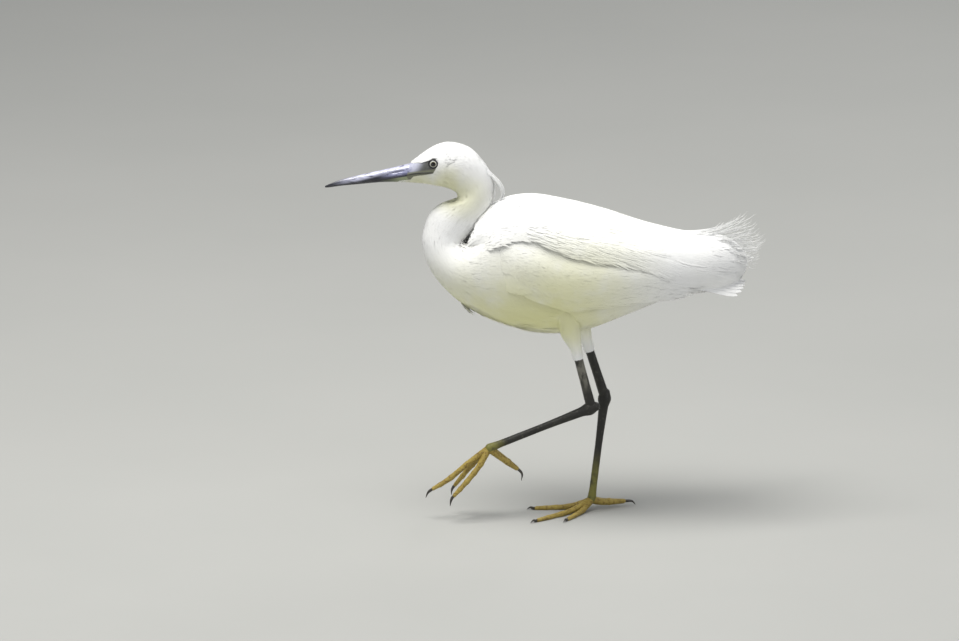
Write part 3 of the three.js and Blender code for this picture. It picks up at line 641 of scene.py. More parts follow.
def bill_look(name, lower):
    look = Look(name, Roughness=0.3, Specular_IOR_Level=0.65, Coat_Weight=0.5, Coat_Roughness=0.22)
    x, z = look.axes()
    streak = look.noise(300, 5, (0.10, 1, 1))
    dark = look.mix(streak, (0.003, 0.003, 0.006), (0.014, 0.014, 0.030))
    if not lower:
        # Painted reflection: a pale lilac band of sky along the culmen, fading down the side and towards the
        # tip.
        depth = look.math("SUBTRACT", rise_line(look, CULMEN_LINE, x), z)
        pale = look.math("MULTIPLY", look.ramp(depth, 0.0056, 0.0010), look.ramp(x, -0.214, -0.178))
        pale = look.math("MULTIPLY", pale, look.ramp(look.noise(520, 4, (0.16, 1, 1)), 0.22, 0.55))
        dark = look.mix(pale, dark, (0.62, 0.63, 0.80))
    look.colour(look.mix(look.ramp(x, -0.168, -0.146), dark, base_horn(look, x, z)))
    look.bump(look.noise(700, 3, (0.1, 1, 1)), 0.35, 0.12)
    return look.material


# The eye's middle, seen from the side.
EYE_AT = (-110.2, 363.3)
EYE_RADIUS = 5.0
EYE_SINK = 3.2
PUPIL, IRIS = 2.45, 3.5


def eye_look():
    look = Look("eye_wet", Roughness=0.12, Specular_IOR_Level=0.3, Coat_Weight=0.6, Coat_Roughness=0.02)
    x, z = look.axes()
    dx = look.math("SUBTRACT", x, EYE_AT[0] * MM)
    dz = look.math("SUBTRACT", z, EYE_AT[1] * MM)
    off = look.math("SQRT", look.math("ADD", look.math("MULTIPLY", dx, dx), look.math("MULTIPLY", dz, dz)))
    iris = look.mix(look.noise(900, 3), (0.34, 0.35, 0.34), (0.64, 0.65, 0.65))
    iris = look.mix(look.ramp(off, (PUPIL + 0.6) * MM, (PUPIL + 0.1) * MM), iris, (0.42, 0.40, 0.24))
    iris = look.mix(look.ramp(off, (PUPIL + 0.12) * MM, (PUPIL - 0.12) * MM), iris, (0.004, 0.004, 0.004))
    look.colour(look.mix(look.ramp(off, (IRIS - 0.35) * MM, (IRIS + 0.1) * MM), iris, (0.012, 0.011, 0.010)))
    return look.material


def lid_look():
    look = Look("lid_skin", Roughness=0.5)
    look.colour(look.mix(look.noise(700, 3), (0.006, 0.006, 0.007), (0.026, 0.027, 0.028)))
    look.bump(look.noise(1500, 3), 0.4, 0.15)
    return look.material


PLUMAGE = plumage_look("plumage")
SKIN = plumage_look("skin", True)
LEG = leg_look()
FOOT = foot_look()
CLAW = claw_look()


# Outline of the flesh and small feathers from bill to tail, as ribs across the body. Each rib runs from
# the back of the neck or trunk to the throat, breast or belly, (x, z), with its half width and how far its
# widest place lies towards the back.
RIBS = [
    ((-135.0, 359.6), (-139.5, 341.2), 7.4, 0),
    ((-126.5, 366.2), (-131.5, 340.8), 9.6, 0),
    ((-116.5, 373.7), (-119.5, 339.9), 12.6, 0),
    ((-106.0, 379.5), (-107.5, 337.8), 14.6, 0),
    ((-94.5, 382.0), (-97.5, 335.8), 16, 0),
    ((-74.0, 376.3), (-87.7, 330.8), 16, 0),
    ((-58.0, 358.9), (-86.3, 325.6), 15, 0),
    ((-53.0, 349.0), (-87.3, 323.3), 14.6, 0),
    ((-50.7, 337.1), (-89.5, 321.7), 14.8, 0),
    ((-54.5, 315.7), (-99.5, 319.4), 15.8, 0),
    ((-65.5, 298.6), (-112.5, 309.5), 16.8, 0),
    ((-75.5, 286.6), (-120.0, 290.2), 18, 0),
    ((-78.0, 282.4), (-120.9, 277.8), 19.5, 0),
    ((-74.0, 281.4), (-113.9, 252.8), 24.5, 0),
    ((-63.5, 293.4), (-94.8, 227.8), 31.5, -0.05),
    ((-48.5, 312.6), (-69.3, 209.5), 37.5, -0.05),
    ((-26.5, 320.9), (-33.1, 193.7), 41, 0),
    ((2.5, 321.5), (2.5, 185.7), 42, 0.04),
    ((40.5, 312.1), (40.5, 188.8), 40, 0.06),
    ((81.5, 298.6), (81.5, 203.9), 33, 0.08),
    ((118.5, 285.6), (118.5, 219.5), 23, 0.05),
    ((136.5, 278.0), (136.5, 228.9), 17, 0),
    ((156.5, 266.0), (156.5, 237.0), 11, 0),
]
LAST_RIB = len(RIBS) - 1
BACK_LINE = curve([(back[0], widest * 10, back[1]) for back, _, _, widest in RIBS])
FRONT_LINE = curve([(front[0], half, front[1]) for _, front, half, _ in RIBS])


def body_point(place, angle):
    back, front = BACK_LINE(place / LAST_RIB), FRONT_LINE(place / LAST_RIB)
    widest, half = back[..., 1] / 10, front[..., 1]
    flat = np.array([1.0, 0, 1.0])
    back, front = back * flat, front * flat
    length = np.linalg.norm(back - front, axis=-1) / 2
    along = unit(back - front)
    up = length * (np.cos(angle) + widest * np.sin(angle) ** 2)
    point = (back + front) / 2 + along * up[..., None]
    point[..., 1] = -half * np.sin(angle)
    return point


body = Surface(body_point, (0, LAST_RIB), (0, 2 * math.pi), (880, 257)).facing(17.0, 0.0, UP)


def coat_depth(place):
    """How deep the small feathers are, from face to tail."""
    return np.interp(place, [0, 3, 5, 8, 12, 15, 22], [0.35, 0.7, 1.1, 1.6, 2.2, 3.0, 3.0])


# Outer surface of the folded wings and back feathers: x, top, bottom and half width from shoulder to tail.
COVERING = [
    (-84, 284, 236, 27),
    (-62, 306, 214, 37),
    (-41.5, 322.5, 199, 43),
    (-13.5, 327.7, 188, 47.5),
    (20.5, 322.5, 184, 49),
    (60.5, 312.1, 192, 46),
    (101.5, 298.6, 208, 38),
    (143.5, 288.9, 222, 27),
    (163, 287.3, 228, 22.5),
    (182, 288, 227, 20),
    (222, 289, 227, 16),
]
# Where the plumage begins to round off at the rear, and where it closes.
ROUNDING, REAR = 160, 203
COVER_LINE = curve([(x, half, (top + bottom) / 2) for x, top, bottom, half in COVERING])
COVER_DEPTH = curve([(x, 0, (top - bottom) / 2) for x, top, bottom, half in COVERING])
cover_steps = np.linspace(0, 1, 2000)
cover_along = COVER_LINE(cover_steps)
cover_depths = COVER_DEPTH(cover_steps)[:, 2]


def cover_at(x):
    """Half width, middle height and half depth of the covering at x."""
    half = np.interp(x, cover_along[:, 0], cover_along[:, 1])
    middle = np.interp(x, cover_along[:, 0], cover_along[:, 2])
    return half, middle, np.interp(x, cover_along[:, 0], cover_depths)


def fullness(x):
    """1 along the body, falling to nearly 0 where the plumage closes at the rear."""
    return np.sqrt(np.maximum(1 - (np.maximum(x - ROUNDING, 0) / (REAR - ROUNDING)) ** 2, 0.003))


def to_the_end(x):
    """About how far it is from x over the rounded end to its middle."""
    return np.hypot(REAR - x, 24 * fullness(x))


def cover_point(x, angle):
    half, middle, depth = cover_at(x)
    turn = np.radians(angle)
    full = fullness(x)
    return np.stack([x, -half * full * np.sin(turn), middle + depth * full * np.cos(turn)], axis=-1)


cover = Surface(cover_point, (-90, REAR), (-180, 180), (420, 361)).facing(20.0, 0.0, UP)


def cover_angle(points):
    """The covering's angle for points of the body, positive on the left side."""
    half, middle, depth = cover_at(points[..., 0])
    return np.degrees(np.arctan2(-points[..., 1] / half, (points[..., 2] - middle) / depth))


def wing_lower(x):
    """The angle of the folded wing's lower edge."""
    _, middle, depth = cover_at(x)
    height = 262 + (220 - 262) * smoothstep(x, -46, 22)
    return np.degrees(np.arccos(np.clip((height - middle) / depth, -1, 1)))


# The angle of the back feathers' lower edge along the body. Behind the wing it drops over the tail's sides.
MANTLE_EDGE = [
    (-78, 60), (-62, 64), (-48, 62), (-36, 59), (-21, 58), (-4, 63), (11, 67), (33, 68), (76, 67), (120, 76),
    (150, 96), (170, 118), (190, 138),
]


def mantle_edge(x):
    return np.interp(x, *zip(*MANTLE_EDGE))


def crease(x):
    """How strong the fold between wing and back is along the body."""
    return smoothstep(x, -50, -18) * (1 - smoothstep(x, 80, 135))


def raised(height):
    """The covering, moved outwards by height(x, angle)."""

    def point(x, angle):
        points, out, _, _ = cover.at(x, angle)
        return points + out * height(x, angle)[..., None]

    return Surface(point, cover.first, cover.second, cover.shape).facing(20.0, 0.0, UP)


def back_height(x, angle):
    """The back feathers rise over the foot of the neck, and swell above their fold with the wing."""
    aside = np.abs(angle)
    over = np.exp(-(((aside - mantle_edge(x) + 10) / 12) ** 2))
    collar = np.exp(-(((x + 60) / 11) ** 2)) * np.exp(-((angle / 40) ** 4))
    drop = smoothstep(-x - 5 * smoothstep(aside, 20, 36), 66, 82) * (1 - 0.75 * smoothstep(aside, 22, 42))
    corner = (1 - smoothstep(x, -72, -46)) * smoothstep(aside, 42, 58)
    return 3.2 * collar - 13 * drop - 3.4 * corner + 1.8 * crease(x) * over


def wing_height(x, angle):
    under = np.exp(-(((np.abs(angle) - mantle_edge(x) - 4) / 9) ** 2))
    wrist = np.exp(-(((x + 14) / 20) ** 2)) * np.exp(-(((np.abs(angle) - 84) / 12) ** 2))
    front = (1 - smoothstep(x, -52, -26)) * smoothstep(np.abs(angle) - mantle_edge(x), -12, 12)
    return -4.4 * front - 1.9 * crease(x) * under + 1.2 * wrist


back_cover = raised(back_height)
wing_cover = raised(wing_height)


def hidden(u, points):
    """True where the wings or the back feathers lie over the body."""
    x = points[..., 0]
    turn = np.abs(cover_angle(points))
    under_wing = (x > -34) & (x < 125) & (turn < wing_lower(np.clip(x, -60, 200)) - 9) & (turn > 40)
    under_back = (x > -52) & (turn <= 60) & (u > 14)
    return under_wing | under_back


# Skin: the flesh from bill to tail with both thighs, grown together into one surface.
THIGHS = {
    "left": [(17, -23.5, 232), (27.5, -23.3, 190), (32, -24, 176.5), (35, -24, 164)],
    "right": [(25, 23, 232), (37.5, 20.5, 188), (42.5, 19.5, 173), (46.5, 19, 160)],
}
THIGH_RADII = (13, 10, 6.4, 5.3)
THIGH_STEPS = 59


def thigh_surface(path):
    s = np.linspace(0, 1, THIGH_STEPS + 1)
    centres = curve(path)(s)
    radius = curve([[r] for r in THIGH_RADII])(s)[:, 0]
    _, up, side = frames_along(centres)

    def point(share, angle):
        at = share * THIGH_STEPS
        i = np.minimum(at.astype(int), THIGH_STEPS - 1)
        w = (at - i)[..., None]
        blend = lambda a: a[i] * (1 - w) + a[i + 1] * w
        around = np.cos(angle)[..., None] * blend(up) + np.sin(angle)[..., None] * blend(side)
        return blend(centres) + blend(radius[:, None]) * around

    made = Surface(point, (0, 1), (-math.pi, math.pi), (60, 64))
    return made.facing(0.5, 0.0, made.at(0.5, 0.0)[0] - centres[(THIGH_STEPS + 1) // 2])


VOXEL = 0.00116


def build_skin():
    places = np.linspace(0, LAST_RIB, 420)
    angles = np.arange(128) / 128 * 2 * math.pi
    grid = np.meshgrid(places, angles, indexing="ij")
    _, out, _, _ = body.at(*grid)
    rings = body.at(*grid)[0] - out * coat_depth(grid[0])[..., None]
    parts = [loft(rings)]
    for path in THIGHS.values():
        parts.append(sweep(path, [r - 1.1 for r in THIGH_RADII], sides=40, steps=60))
    points, quads, tris, count = [], [], [], 0
    for p, q, t in parts:
        points.append(p)
        quads.append(q + count)
        tris.append(t + count)
        count += len(p)
    skin = make("skin", np.concatenate(points), [np.concatenate(quads), np.concatenate(tris)], SKIN)
    remesh = skin.modifiers.new("grow", "REMESH")
    remesh.mode = "VOXEL"
    remesh.voxel_size = VOXEL
    remesh.use_smooth_shade = True
    smooth = skin.modifiers.new("even", "SMOOTH")
    smooth.factor = 0.5
    smooth.iterations = 3
    grown = bpy.data.meshes.new_from_object(skin.evaluated_get(bpy.context.evaluated_depsgraph_get()))
    skin.modifiers.clear()
    old = skin.data
    skin.data = grown
    bpy.data.meshes.remove(old)
    if not grown.materials:
        grown.materials.append(SKIN)
    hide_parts("head", "neck_upper", "neck_lower", "torso", "thigh_left", "thigh_right")
    return skin


build_skin()


# Coat of the head, neck and trunk


def eye_distance(points):
    return np.hypot(points[..., 0] - EYE_AT[0], points[..., 2] - EYE_AT[1])


def feathered(points):
    """True where small feathers grow: not on the bare skin of the face and not over the eye."""
    x, z = points[..., 0], points[..., 2]
    bare = (face_distance(x, z) < 0.2) | (eye_distance(points) < EYE_RADIUS + 0.3)
    return ~(bare & (x < FACE_END))


def groove(points):
    """How far the feathers sink in the faint groove behind the eye."""
    along = np.clip((points[..., 0] + 98) / 8, 0, 1)
    off = np.hypot(points[..., 0] + 98 - 8 * along, points[..., 2] - 362.5 - 5 * along)
    return 0.9 * np.exp(-((off / 1.8) ** 2))


def near_fold(points):
    """1 in the tight fold at the front of the neck, and 0 away from it."""
    return 1 - smoothstep(np.hypot(points[..., 0] + 86, points[..., 2] - 323), 3, 14)


def coat(name, low, high, spacing, length, width, lift, spread):
    """Small feathers between two places along the body. length and width are at those two places."""
    pile = Pile()

    def wanted(u, v, points):
        return (u >= low) & (u < high) & feathered(points) & ~hidden(u, points)

    u, v = body.scatter(spacing / FINENESS, wanted)
    share = (u - low) / (high - low)
    long_ = np.interp(share, [0, 1], length) * draw.uniform(0.75, 1.2, len(u))
    wide = np.interp(share, [0, 1], width) * draw.uniform(0.75, 1.25, len(u)) / FINENESS
    depth = coat_depth(u)
    points = body.at(u, v)[0]
    sink = groove(points) + 0.5 * near_fold(points)
    long_ = long_ * (1 - 0.68 * near_fold(points))
    rise = draw.uniform(0.0, 1.0, len(u)) * lift
    heights = [-depth * 0.95, -depth * 0.12 - sink, 0.05 + rise - sink, rise * 0.4 - 0.08 - sink]
    lock_pile(pile, body, u, v, draw.normal(0, spread, len(u)), long_, wide, heights)
    piece = pile.make(name, PLUMAGE)
    return piece


coat("coat_face", 0.05, 3.4, 0.8, (2.2, 4.2), (0.8, 1.0), 0.12, 0.16)
coat("coat_head", 3.3, 7.4, 1.0, (4.2, 8), (1.05, 1.4), 0.2, 0.13)
coat("coat_neck", 7.2, 13.0, 1.25, (9, 15), (1.4, 1.9), 0.3, 0.1)
coat("coat_breast", 12.8, 16.6, 1.6, (16, 24), (2.0, 2.5), 0.2, 0.1)
coat("coat_belly", 16.3, 21.98, 1.9, (22, 20), (2.5, 2.3), 0.28, 0.12)

for side, path in THIGHS.items():
    surface = thigh_surface(path)
    pile = Pile()
    u, v = surface.scatter(1.25 / FINENESS, lambda u, v, points: (u > 0.2) & (u < 0.985))
    rise = draw.uniform(0, 1, len(u)) * np.interp(u, [0, 0.5, 1], [0.5, 0.25, 0.15])
    heights = [-1.5, -0.7, rise - 0.4, rise * 0.6 - 0.5]
    long_ = np.interp(u, [0, 0.5, 1], [18, 12, 4.5]) * draw.uniform(0.8, 1.2, len(u))
    heading = draw.normal(0.1, 0.12, len(u))
    lock_pile(pile, surface, u, v, heading, long_, np.interp(u, [0, 1], [2.2, 1.2]), heights)
    pile.make(f"coat_thigh_{side}", PLUMAGE)


# Folded wings: a smooth sheet below, then rows of small, median and greater coverts and the flight feathers.
def sheet_pile(pile, surface, first, last, upper, lower, height, rim, depth, rows=70, columns=40):
    """A smooth closed sheet on a surface between two angles, thinning to its rim."""
    x = np.linspace(first, last, rows)[:, None] * np.ones(columns)[None]
    across = np.linspace(0, 1, columns)[None] * np.ones(rows)[:, None]
    angle = upper(x) * (1 - across) + lower(x) * across
    end = np.linspace(0, 1, rows)[:, None]
    full = np.minimum(np.minimum(end, 1 - end) * 5, np.minimum(across, 1 - across) * 4)
    full = np.sqrt(np.clip(full, 0, 1))
    points, out, _, _ = surface.at(x, angle)
    top = points + out * (rim + (height - rim) * full)[..., None]
    under = points + out * (rim - 0.4 - (depth + rim) * full)[..., None]
    uv = cover.map(x, angle).reshape(-1, 2)
    normals = np.concatenate([out.reshape(-1, 3), -out.reshape(-1, 3)])
    pile.add(*slab(top, under), [], np.concatenate([uv, uv]), normals)


wing = Pile()
sheet_pile(wing, wing_cover, -47, 122, lambda x: mantle_edge(x) - 10, wing_lower, -0.4, -2.6, 5)
tier(wing, wing_cover, 9, [(96, 114), (84, 98)], [(150, 117), (182, 103)], 14, (-3, -1.5), shape=LONG)
tier(wing, wing_cover, 14, [(34, 113), (56, 82)], [(104, 118), (174, 88)], 17, (-1.8, -0.35))
tier(
    wing, wing_cover, 9, [(62, 100), (60, 68)], [(140, 106), (166, 74)], 17, (-1.8, -0.2),
    shape=LONG, tilt=0.1,
)
tier(wing, wing_cover, 16, [(-6, 111), (28, 70)], [(56, 115), (104, 74)], 13, (-1.6, -0.05), tilt=0.12)
tier(wing, wing_cover, 15, [(-20, 108), (8, 66)], [(20, 113), (58, 71)], 11.5, (-1.4, 0.0), tilt=0.12)
for row in range(8):
    back = row * 8.0
    first = (-44 + back * 0.62, 104 - row)
    last = (-50 + back, 56 + row * 1.8)
    ends = [(first[0] + 19, first[1] + 4), (last[0] + 22, last[1] + 3)]
    tier(wing, wing_cover, 11, [first, last], ends, 10, (-1.3, 0.0), tilt=0.1, splits=1)


def wing_coat(pile):
    """Tiny silky feathers over the wing's front, thinning out over the coverts."""

    def wanted(x, a, points):
        thin = draw.random(np.shape(x)) < np.interp(x, [0, 60, 130], [1, 0.7, 0.3])
        low = wing_lower(x) + 2 - 6 * smoothstep(x, 0, 40)
        return (x > -60) & (x < 130) & (a > mantle_edge(x) - 6) & (a < low) & thin

    x, a = wing_cover.scatter(1.7 / FINENESS, wanted)
    rise = draw.uniform(0, 1, len(x)) * 0.25
    heading = np.radians(draw.normal(10, 5, len(x)))
    heights = [-1.6, -0.3, 0.15 + rise, rise * 0.4 + 0.05]
    long_ = np.interp(x, [-40, 60], [12, 24]) * draw.uniform(0.8, 1.2, len(x))
    lock_pile(pile, wing_cover, x, a, heading, long_, 2.2, heights)


wing_coat(wing)
for name, pile in (("left", wing), ("right", wing.mirror())):
    piece = pile.make(f"wing_feathers_{name}", PLUMAGE)
    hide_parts(f"wing_{name}")


# Back: a smooth sheet, silky locks over it, and long loose plumes whose fine ends curl past the tail.
mantle = Pile()
sheet_pile(
    mantle, back_cover, -82.5, 180, lambda x: -np.minimum(mantle_edge(x), 86),
    lambda x: np.minimum(mantle_edge(x), 86), -0.4, -2.4, 5, 130, 90,
)


def back_locks(pile, spacing, low, high, length, width, lift, reach=0.0):
    """Silky feathers that lie back along the body. reach is how far over their edge they may hang."""

    def wanted(x, a, points):
        return (x > low) & (x < high) & (np.abs(a) < mantle_edge(x) + reach)

    x, a = back_cover.scatter(spacing / FINENESS, wanted)
    rise = draw.uniform(0, 1, len(x)) * lift
    slant = np.interp(np.abs(a), [0, 60, 110], [0, 9, 16])
    heading = np.radians(np.sign(a) * slant) + draw.normal(0, 0.06, len(x))
    heights = [-2.0, -0.45, rise + 0.1, rise * 0.6]
    long_ = np.interp(x, [low, high], length) * draw.uniform(0.8, 1.25, len(x))
    long_ = np.clip(long_, 2.5, np.maximum(to_the_end(x) - draw.uniform(1, 5, len(x)), 2.5))
    wide = np.interp(x, [low, high], width) / FINENESS
    lock_pile(pile, back_cover, x, a, heading, long_, wide, heights)


rump = Pile()
back_locks(mantle, 1.8, -79, 20, (11, 26), (2.1, 2.8), 0.12)
back_locks(mantle, 2.1, 12, 120, (28, 46), (2.8, 2.4), 0.28)
back_locks(rump, 2.0, 112, 202, (44, 26), (2.4, 2.0), 0.3, reach=4)


def drape(pile, count, low, high, over, length):
    """Long scapular plumes that slant down over the folded wing and the tail's side."""
    n = int(count * DENSITY)
    x = draw.uniform(low, high, n)
    a = mantle_edge(x) + draw.uniform(*over, n)
    sign = draw.choice([-1, 1], n)
    slant = np.interp(x, [-20, 50, 100, 150, 180], [7, 14, 27, 24, 14])
    heading = np.radians(slant + draw.normal(0, 5, n)) * sign
    rise = draw.uniform(0, 1, n)
    long_ = np.interp(x, [low, high], length) * draw.uniform(0.7, 1.15, n)
    long_ = np.minimum(long_, REAR - 1 - x - draw.uniform(0, 6, n))
    heights = [-1.4, 0.15, 0.3 + rise * 0.5, 0.25 + rise * 0.6, 0.05 + rise * 0.7]
    long_ = np.maximum(long_, 4)
    lock_pile(pile, back_cover, x, a * sign, heading, long_, 1.8, heights, 0.4, (0.6, 1, 0.9, 0.6))


drape(mantle, 900, -24, 110, (-16, 0), (22, 56))
drape(rump, 1100, 70, 176, (-14, 3), (54, 34))
drape(rump, 900, 118, 186, (0, 24), (40, 18))
drape(rump, 500, 150, 190, (10, 40), (30, 14))


def close_rump(pile):
    """The smooth rounded end of the plumage, and the small feathers of its underside."""
    x = np.concatenate([np.linspace(136, 190, 40), REAR - 13 * np.linspace(1, 0.03, 24)[1:] ** 2])
    x, angle = np.meshgrid(x, np.linspace(-180, 180, 91)[:-1], indexing="ij")
    rings, out, _, _ = back_cover.at(x, angle)
    inset = np.interp(x, [136, 150, 170, 199, REAR], [7, 1.8, 1.2, 0.9, -0.6])
    points, quads, tris = loft(rings - out * inset[..., None])
    uv = np.concatenate([cover.map(x, angle).reshape(-1, 2), cover.map(x[[0, -1], 0], angle[[0, -1], 45])])
    pile.add(points, quads, tris, uv, np.concatenate([out.reshape(-1, 3), [[-1, 0, 0], [1, 0, 0]]]))

    def wanted(x, a, points):
        return (x > 148) & (x < 202) & (np.abs(a) > mantle_edge(x) - 4)

    x, a = back_cover.scatter(1.9 / FINENESS, wanted)
    rise = draw.uniform(0, 1, len(x)) * 0.4
    heights = [-2.0, -0.5, 0.1 + rise, rise * 0.6]
    heading = np.radians(np.sign(a) * 12) + draw.normal(0, 0.08, len(x))
    long_ = np.clip(draw.uniform(14, 22, len(x)), 2.5, np.maximum(to_the_end(x) - 2, 2.5))
    lock_pile(pile, back_cover, x, a, heading, long_, 1.9, heights)


close_rump(rump)
for name, pile in (("back_feathers", mantle), ("rump_feathers", rump)):
    piece = pile.make(name, PLUMAGE)
    if pile is mantle:
        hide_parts("mantle")

# Where the tips of the loose plumes stand, (x, z), from the highest to the lowest.
SPRAY_TIPS = [
    (190, 299), (203, 306), (210, 303), (215, 297), (218, 291), (220, 284), (220.5, 277), (219, 270),
    (215, 264), (211, 258), (206, 250),
]


def spray():
    """The loose ends of the plumes, which leave the tail and curl up, each with fine side filaments."""
    pile = Pile()
    n = int(56 * FINENESS)
    share = np.sort(draw.random(n))
    side = draw.choice([-1, 1], n)
    angle = side * np.interp(share, [0, 0.5, 1], [6, 34, 80]) * draw.uniform(0.6, 1.2, n)
    end = np.interp(share, [0, 0.3, 0.6, 1], [160, 179, 190, 198]) + draw.normal(0, 2, n)
    first, out, _, _ = back_cover.at(end - draw.uniform(18, 34, n), angle * 0.92)
    knee, knee_out, _, _ = back_cover.at(end, angle)
    place = share * (len(SPRAY_TIPS) - 1)
    order = np.arange(len(SPRAY_TIPS))
    tips = np.stack([np.interp(place, order, line) for line in zip(*SPRAY_TIPS)], axis=-1)
    reach = draw.uniform(0.62, 1.0, (n, 1))
    flat = knee[:, [0, 2]] + (tips - knee[:, [0, 2]]) * reach + draw.normal(0, 1.1, (n, 2))
    last = np.stack([flat[:, 0], knee[:, 1] * 1.05 + draw.normal(0, 3, n), flat[:, 1]], axis=-1)
    first, knee = first - out * 0.7, knee + knee_out * 0.4
    knee = knee + (knee - first) * 0.12 * reach
    s = np.linspace(0, 1, 12)[None, :, None]
    centres = first[:, None] * (1 - s) ** 2 + 2 * knee[:, None] * s * (1 - s) + last[:, None] * s**2
    roots = cover.map(end - 20, angle)
    taper = np.interp(np.linspace(0, 1, 11), [0, 0.4, 0.8, 1], [1, 0.95, 0.6, 0.35])
    strand_pile(pile, centres, draw.uniform(0.65, 1.15, n), roots, out=(0, -0.6, 0.8), shares=taper)
    barbs = 6
    along = np.linspace(0.5, 0.93, barbs)
    at = np.stack([[np.interp(along, s[0, :, 0], centres[k, :, c]) for c in range(3)] for k in range(n)])
    at = at.transpose(0, 2, 1)
    forward = unit(np.gradient(centres, axis=1))[:, np.linspace(6, 10, barbs).astype(int)]
    way = np.where(np.arange(barbs) % 2, 1, -1)[None, :, None] * np.array([-0.3, 0.5, 0.8])
    away = unit(forward + way * draw.uniform(0.12, 0.4, (n, barbs, 1)) + draw.normal(0, 0.08, (n, barbs, 3)))
    size = draw.uniform(4, 9, (n, barbs, 1, 1))
    steps = np.array([0, 0.4, 0.75, 1])[None, None, :, None]
    fine = at[:, :, None] + away[:, :, None] * size * steps + np.array([0, 0, 1.4]) * steps**2
    strand_pile(pile, fine.reshape(-1, 4, 3), 0.34, np.repeat(roots, barbs, axis=0), shares=(1, 0.8, 0.5))
    pile.make("loose_plumes", PLUMAGE)


spray()


# Tail: twelve feathers in a shallow roof.
def tail_point(side):
    def point(s, across):
        """across runs from 0 at the middle pair to 1 at the outer one."""
        root = np.stack([138 + 0 * across, side * 11 * across, 247 - 9 * across], axis=-1)
        end = 201.5 - 3.0 * across**2 - 4.0 * across**6
        tip = np.stack([end, side * 15 * across, 236 - 9.5 * across**2], axis=-1)
        point = root + (tip - root) * s[..., None]
        point[..., 2] += 2.5 * np.sin(math.pi * s)
        return point

    return point


tail = Pile()
for side in (1, -1):
    fan = Surface(tail_point(side), (0, 1), (-0.3, 1.3), (40, 40)).facing(0.5, 0.5, UP)
    for n in range(6):
        out = (5 - n) / 5
        lift = (-1.4 + 0.22 * (5 - out * 5), 0.1 + 0.45 * (1 - out) * 5)
        tip = (1 - 0.02 * out, out)
        vane_pile(tail, fan, (0.02, out), tip, 9, lift, tilt=-0.15 * side, thick=0.3, splits=1)
piece = tail.make("tail_feathers", PLUMAGE)
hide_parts("tail")


# Head: eyes, lids, gape, chin, bill and the two long nape plumes.
def side_of_head(x, z):
    """The half width of the head at a place seen from the side."""
    places = np.linspace(0, 7, 1400)
    near = body_point(places[:, None], np.linspace(0.2, 2.9, 240)[None] + 0 * places[:, None])
    off = np.hypot(near[..., 0] - x, near[..., 2] - z)
    return abs(near.reshape(-1, 3)[off.argmin()][1])


eye_half = side_of_head(*EYE_AT)
EYE = eye_look()
LID = lid_look()


def ball(centre, radius, rows=24, columns=40):
    tilt = np.linspace(0, math.pi, rows + 2)[1:-1]
    turn = np.arange(columns) / columns * 2 * math.pi
    rings = np.stack([
        np.sin(tilt)[:, None] * np.cos(turn)[None],
        np.cos(tilt)[:, None] + 0 * turn[None],
        np.sin(tilt)[:, None] * np.sin(turn)[None],
    ], axis=-1)
    return loft(np.asarray(centre) + radius * rings)


LID_STEPS, LID_SIDES = 56, 12


def lid_ring(centre, sign):
    """Both lids as one fold of skin around the eye, a little wider than high."""
    turn = np.arange(LID_STEPS) / LID_STEPS * 2 * math.pi
    around = np.arange(LID_SIDES) / LID_SIDES * 2 * math.pi
    thick = 0.62 + 0.16 * np.abs(np.sin(turn)) + 0.04 * np.sin(turn * 17)
    wide, high = 4.35 + 0.12 * np.cos(turn * 2), 4.05
    x, z = wide * np.cos(turn), high * np.sin(turn)
    mid = np.stack([x, sign * 0.25 + 0 * turn, z - 0.06 * x], axis=-1)
    out = unit(mid * [1, 0, 1])
    across = np.cos(around)[None, :, None] * out[:, None]
    rise = np.sin(around)[None, :, None] * np.array([0, sign, 0]) * 0.9
    rings = mid[:, None] + thick[:, None, None] * (across + rise)
    points = (np.asarray(centre) + rings).reshape(-1, 3)
    first = np.arange(LID_SIDES)
    following = np.roll(first, -1)
    last = (LID_STEPS - 1) * LID_SIDES
    wrap = np.stack([last + first, last + following, following, first], axis=-1)
    quads = np.concatenate([grid_faces(LID_STEPS, LID_SIDES, True), wrap])
    return points, outward(points, quads, np.zeros((0, 3), int))[0]


for name, sign in (("left", -1), ("right", 1)):
    centre = (EYE_AT[0], sign * (eye_half - EYE_SINK), EYE_AT[1])
    points, quads, tris = ball(centre, EYE_RADIUS)
    piece = make(f"eyeball_{name}", points, [quads, tris], EYE)
    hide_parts(f"eye_{name}")
    points, quads = lid_ring((EYE_AT[0], sign * (eye_half - 0.35), EYE_AT[1]), sign)
    make(f"lids_{name}", points, [quads], LID)


# The bill, as ribs from the face to the tip: culmen, mouth line and lower edge, (x, z), and half width.
BILL_RIBS = [
    ((-131.0, 360.2), (-133.6, 349.4), (-135.5, 341.8), 7.1),
    ((-135.0, 359.5), (-137.6, 348.9), (-139.5, 341.3), 7.25),
    ((-148.5, 356.2), (-150.0, 346.4), (-152.0, 341.4), 5.9),
    ((-161.8, 353.0), (-162.5, 344.3), (-163.5, 341.1), 5.0),
    ((-185.7, 347.3), (-186.0, 341.4), (-186.0, 338.9), 3.6),
    ((-203.0, 342.8), (-203.0, 338.6), (-203.0, 337.2), 2.2),
    ((-214.0, 338.6), (-214.0, 336.4), (-214.0, 335.5), 1.0),
    ((-218.2, 336.7), (-218.2, 335.9), (-218.0, 335.3), 0.4),
]
BILL_LINES = [curve([(rib[k][0], rib[3], rib[k][1]) for rib in BILL_RIBS]) for k in range(3)]
MOUTH_GAP = 0.3
NOSTRIL_FROM, NOSTRIL_TO = -141.0, -152.5


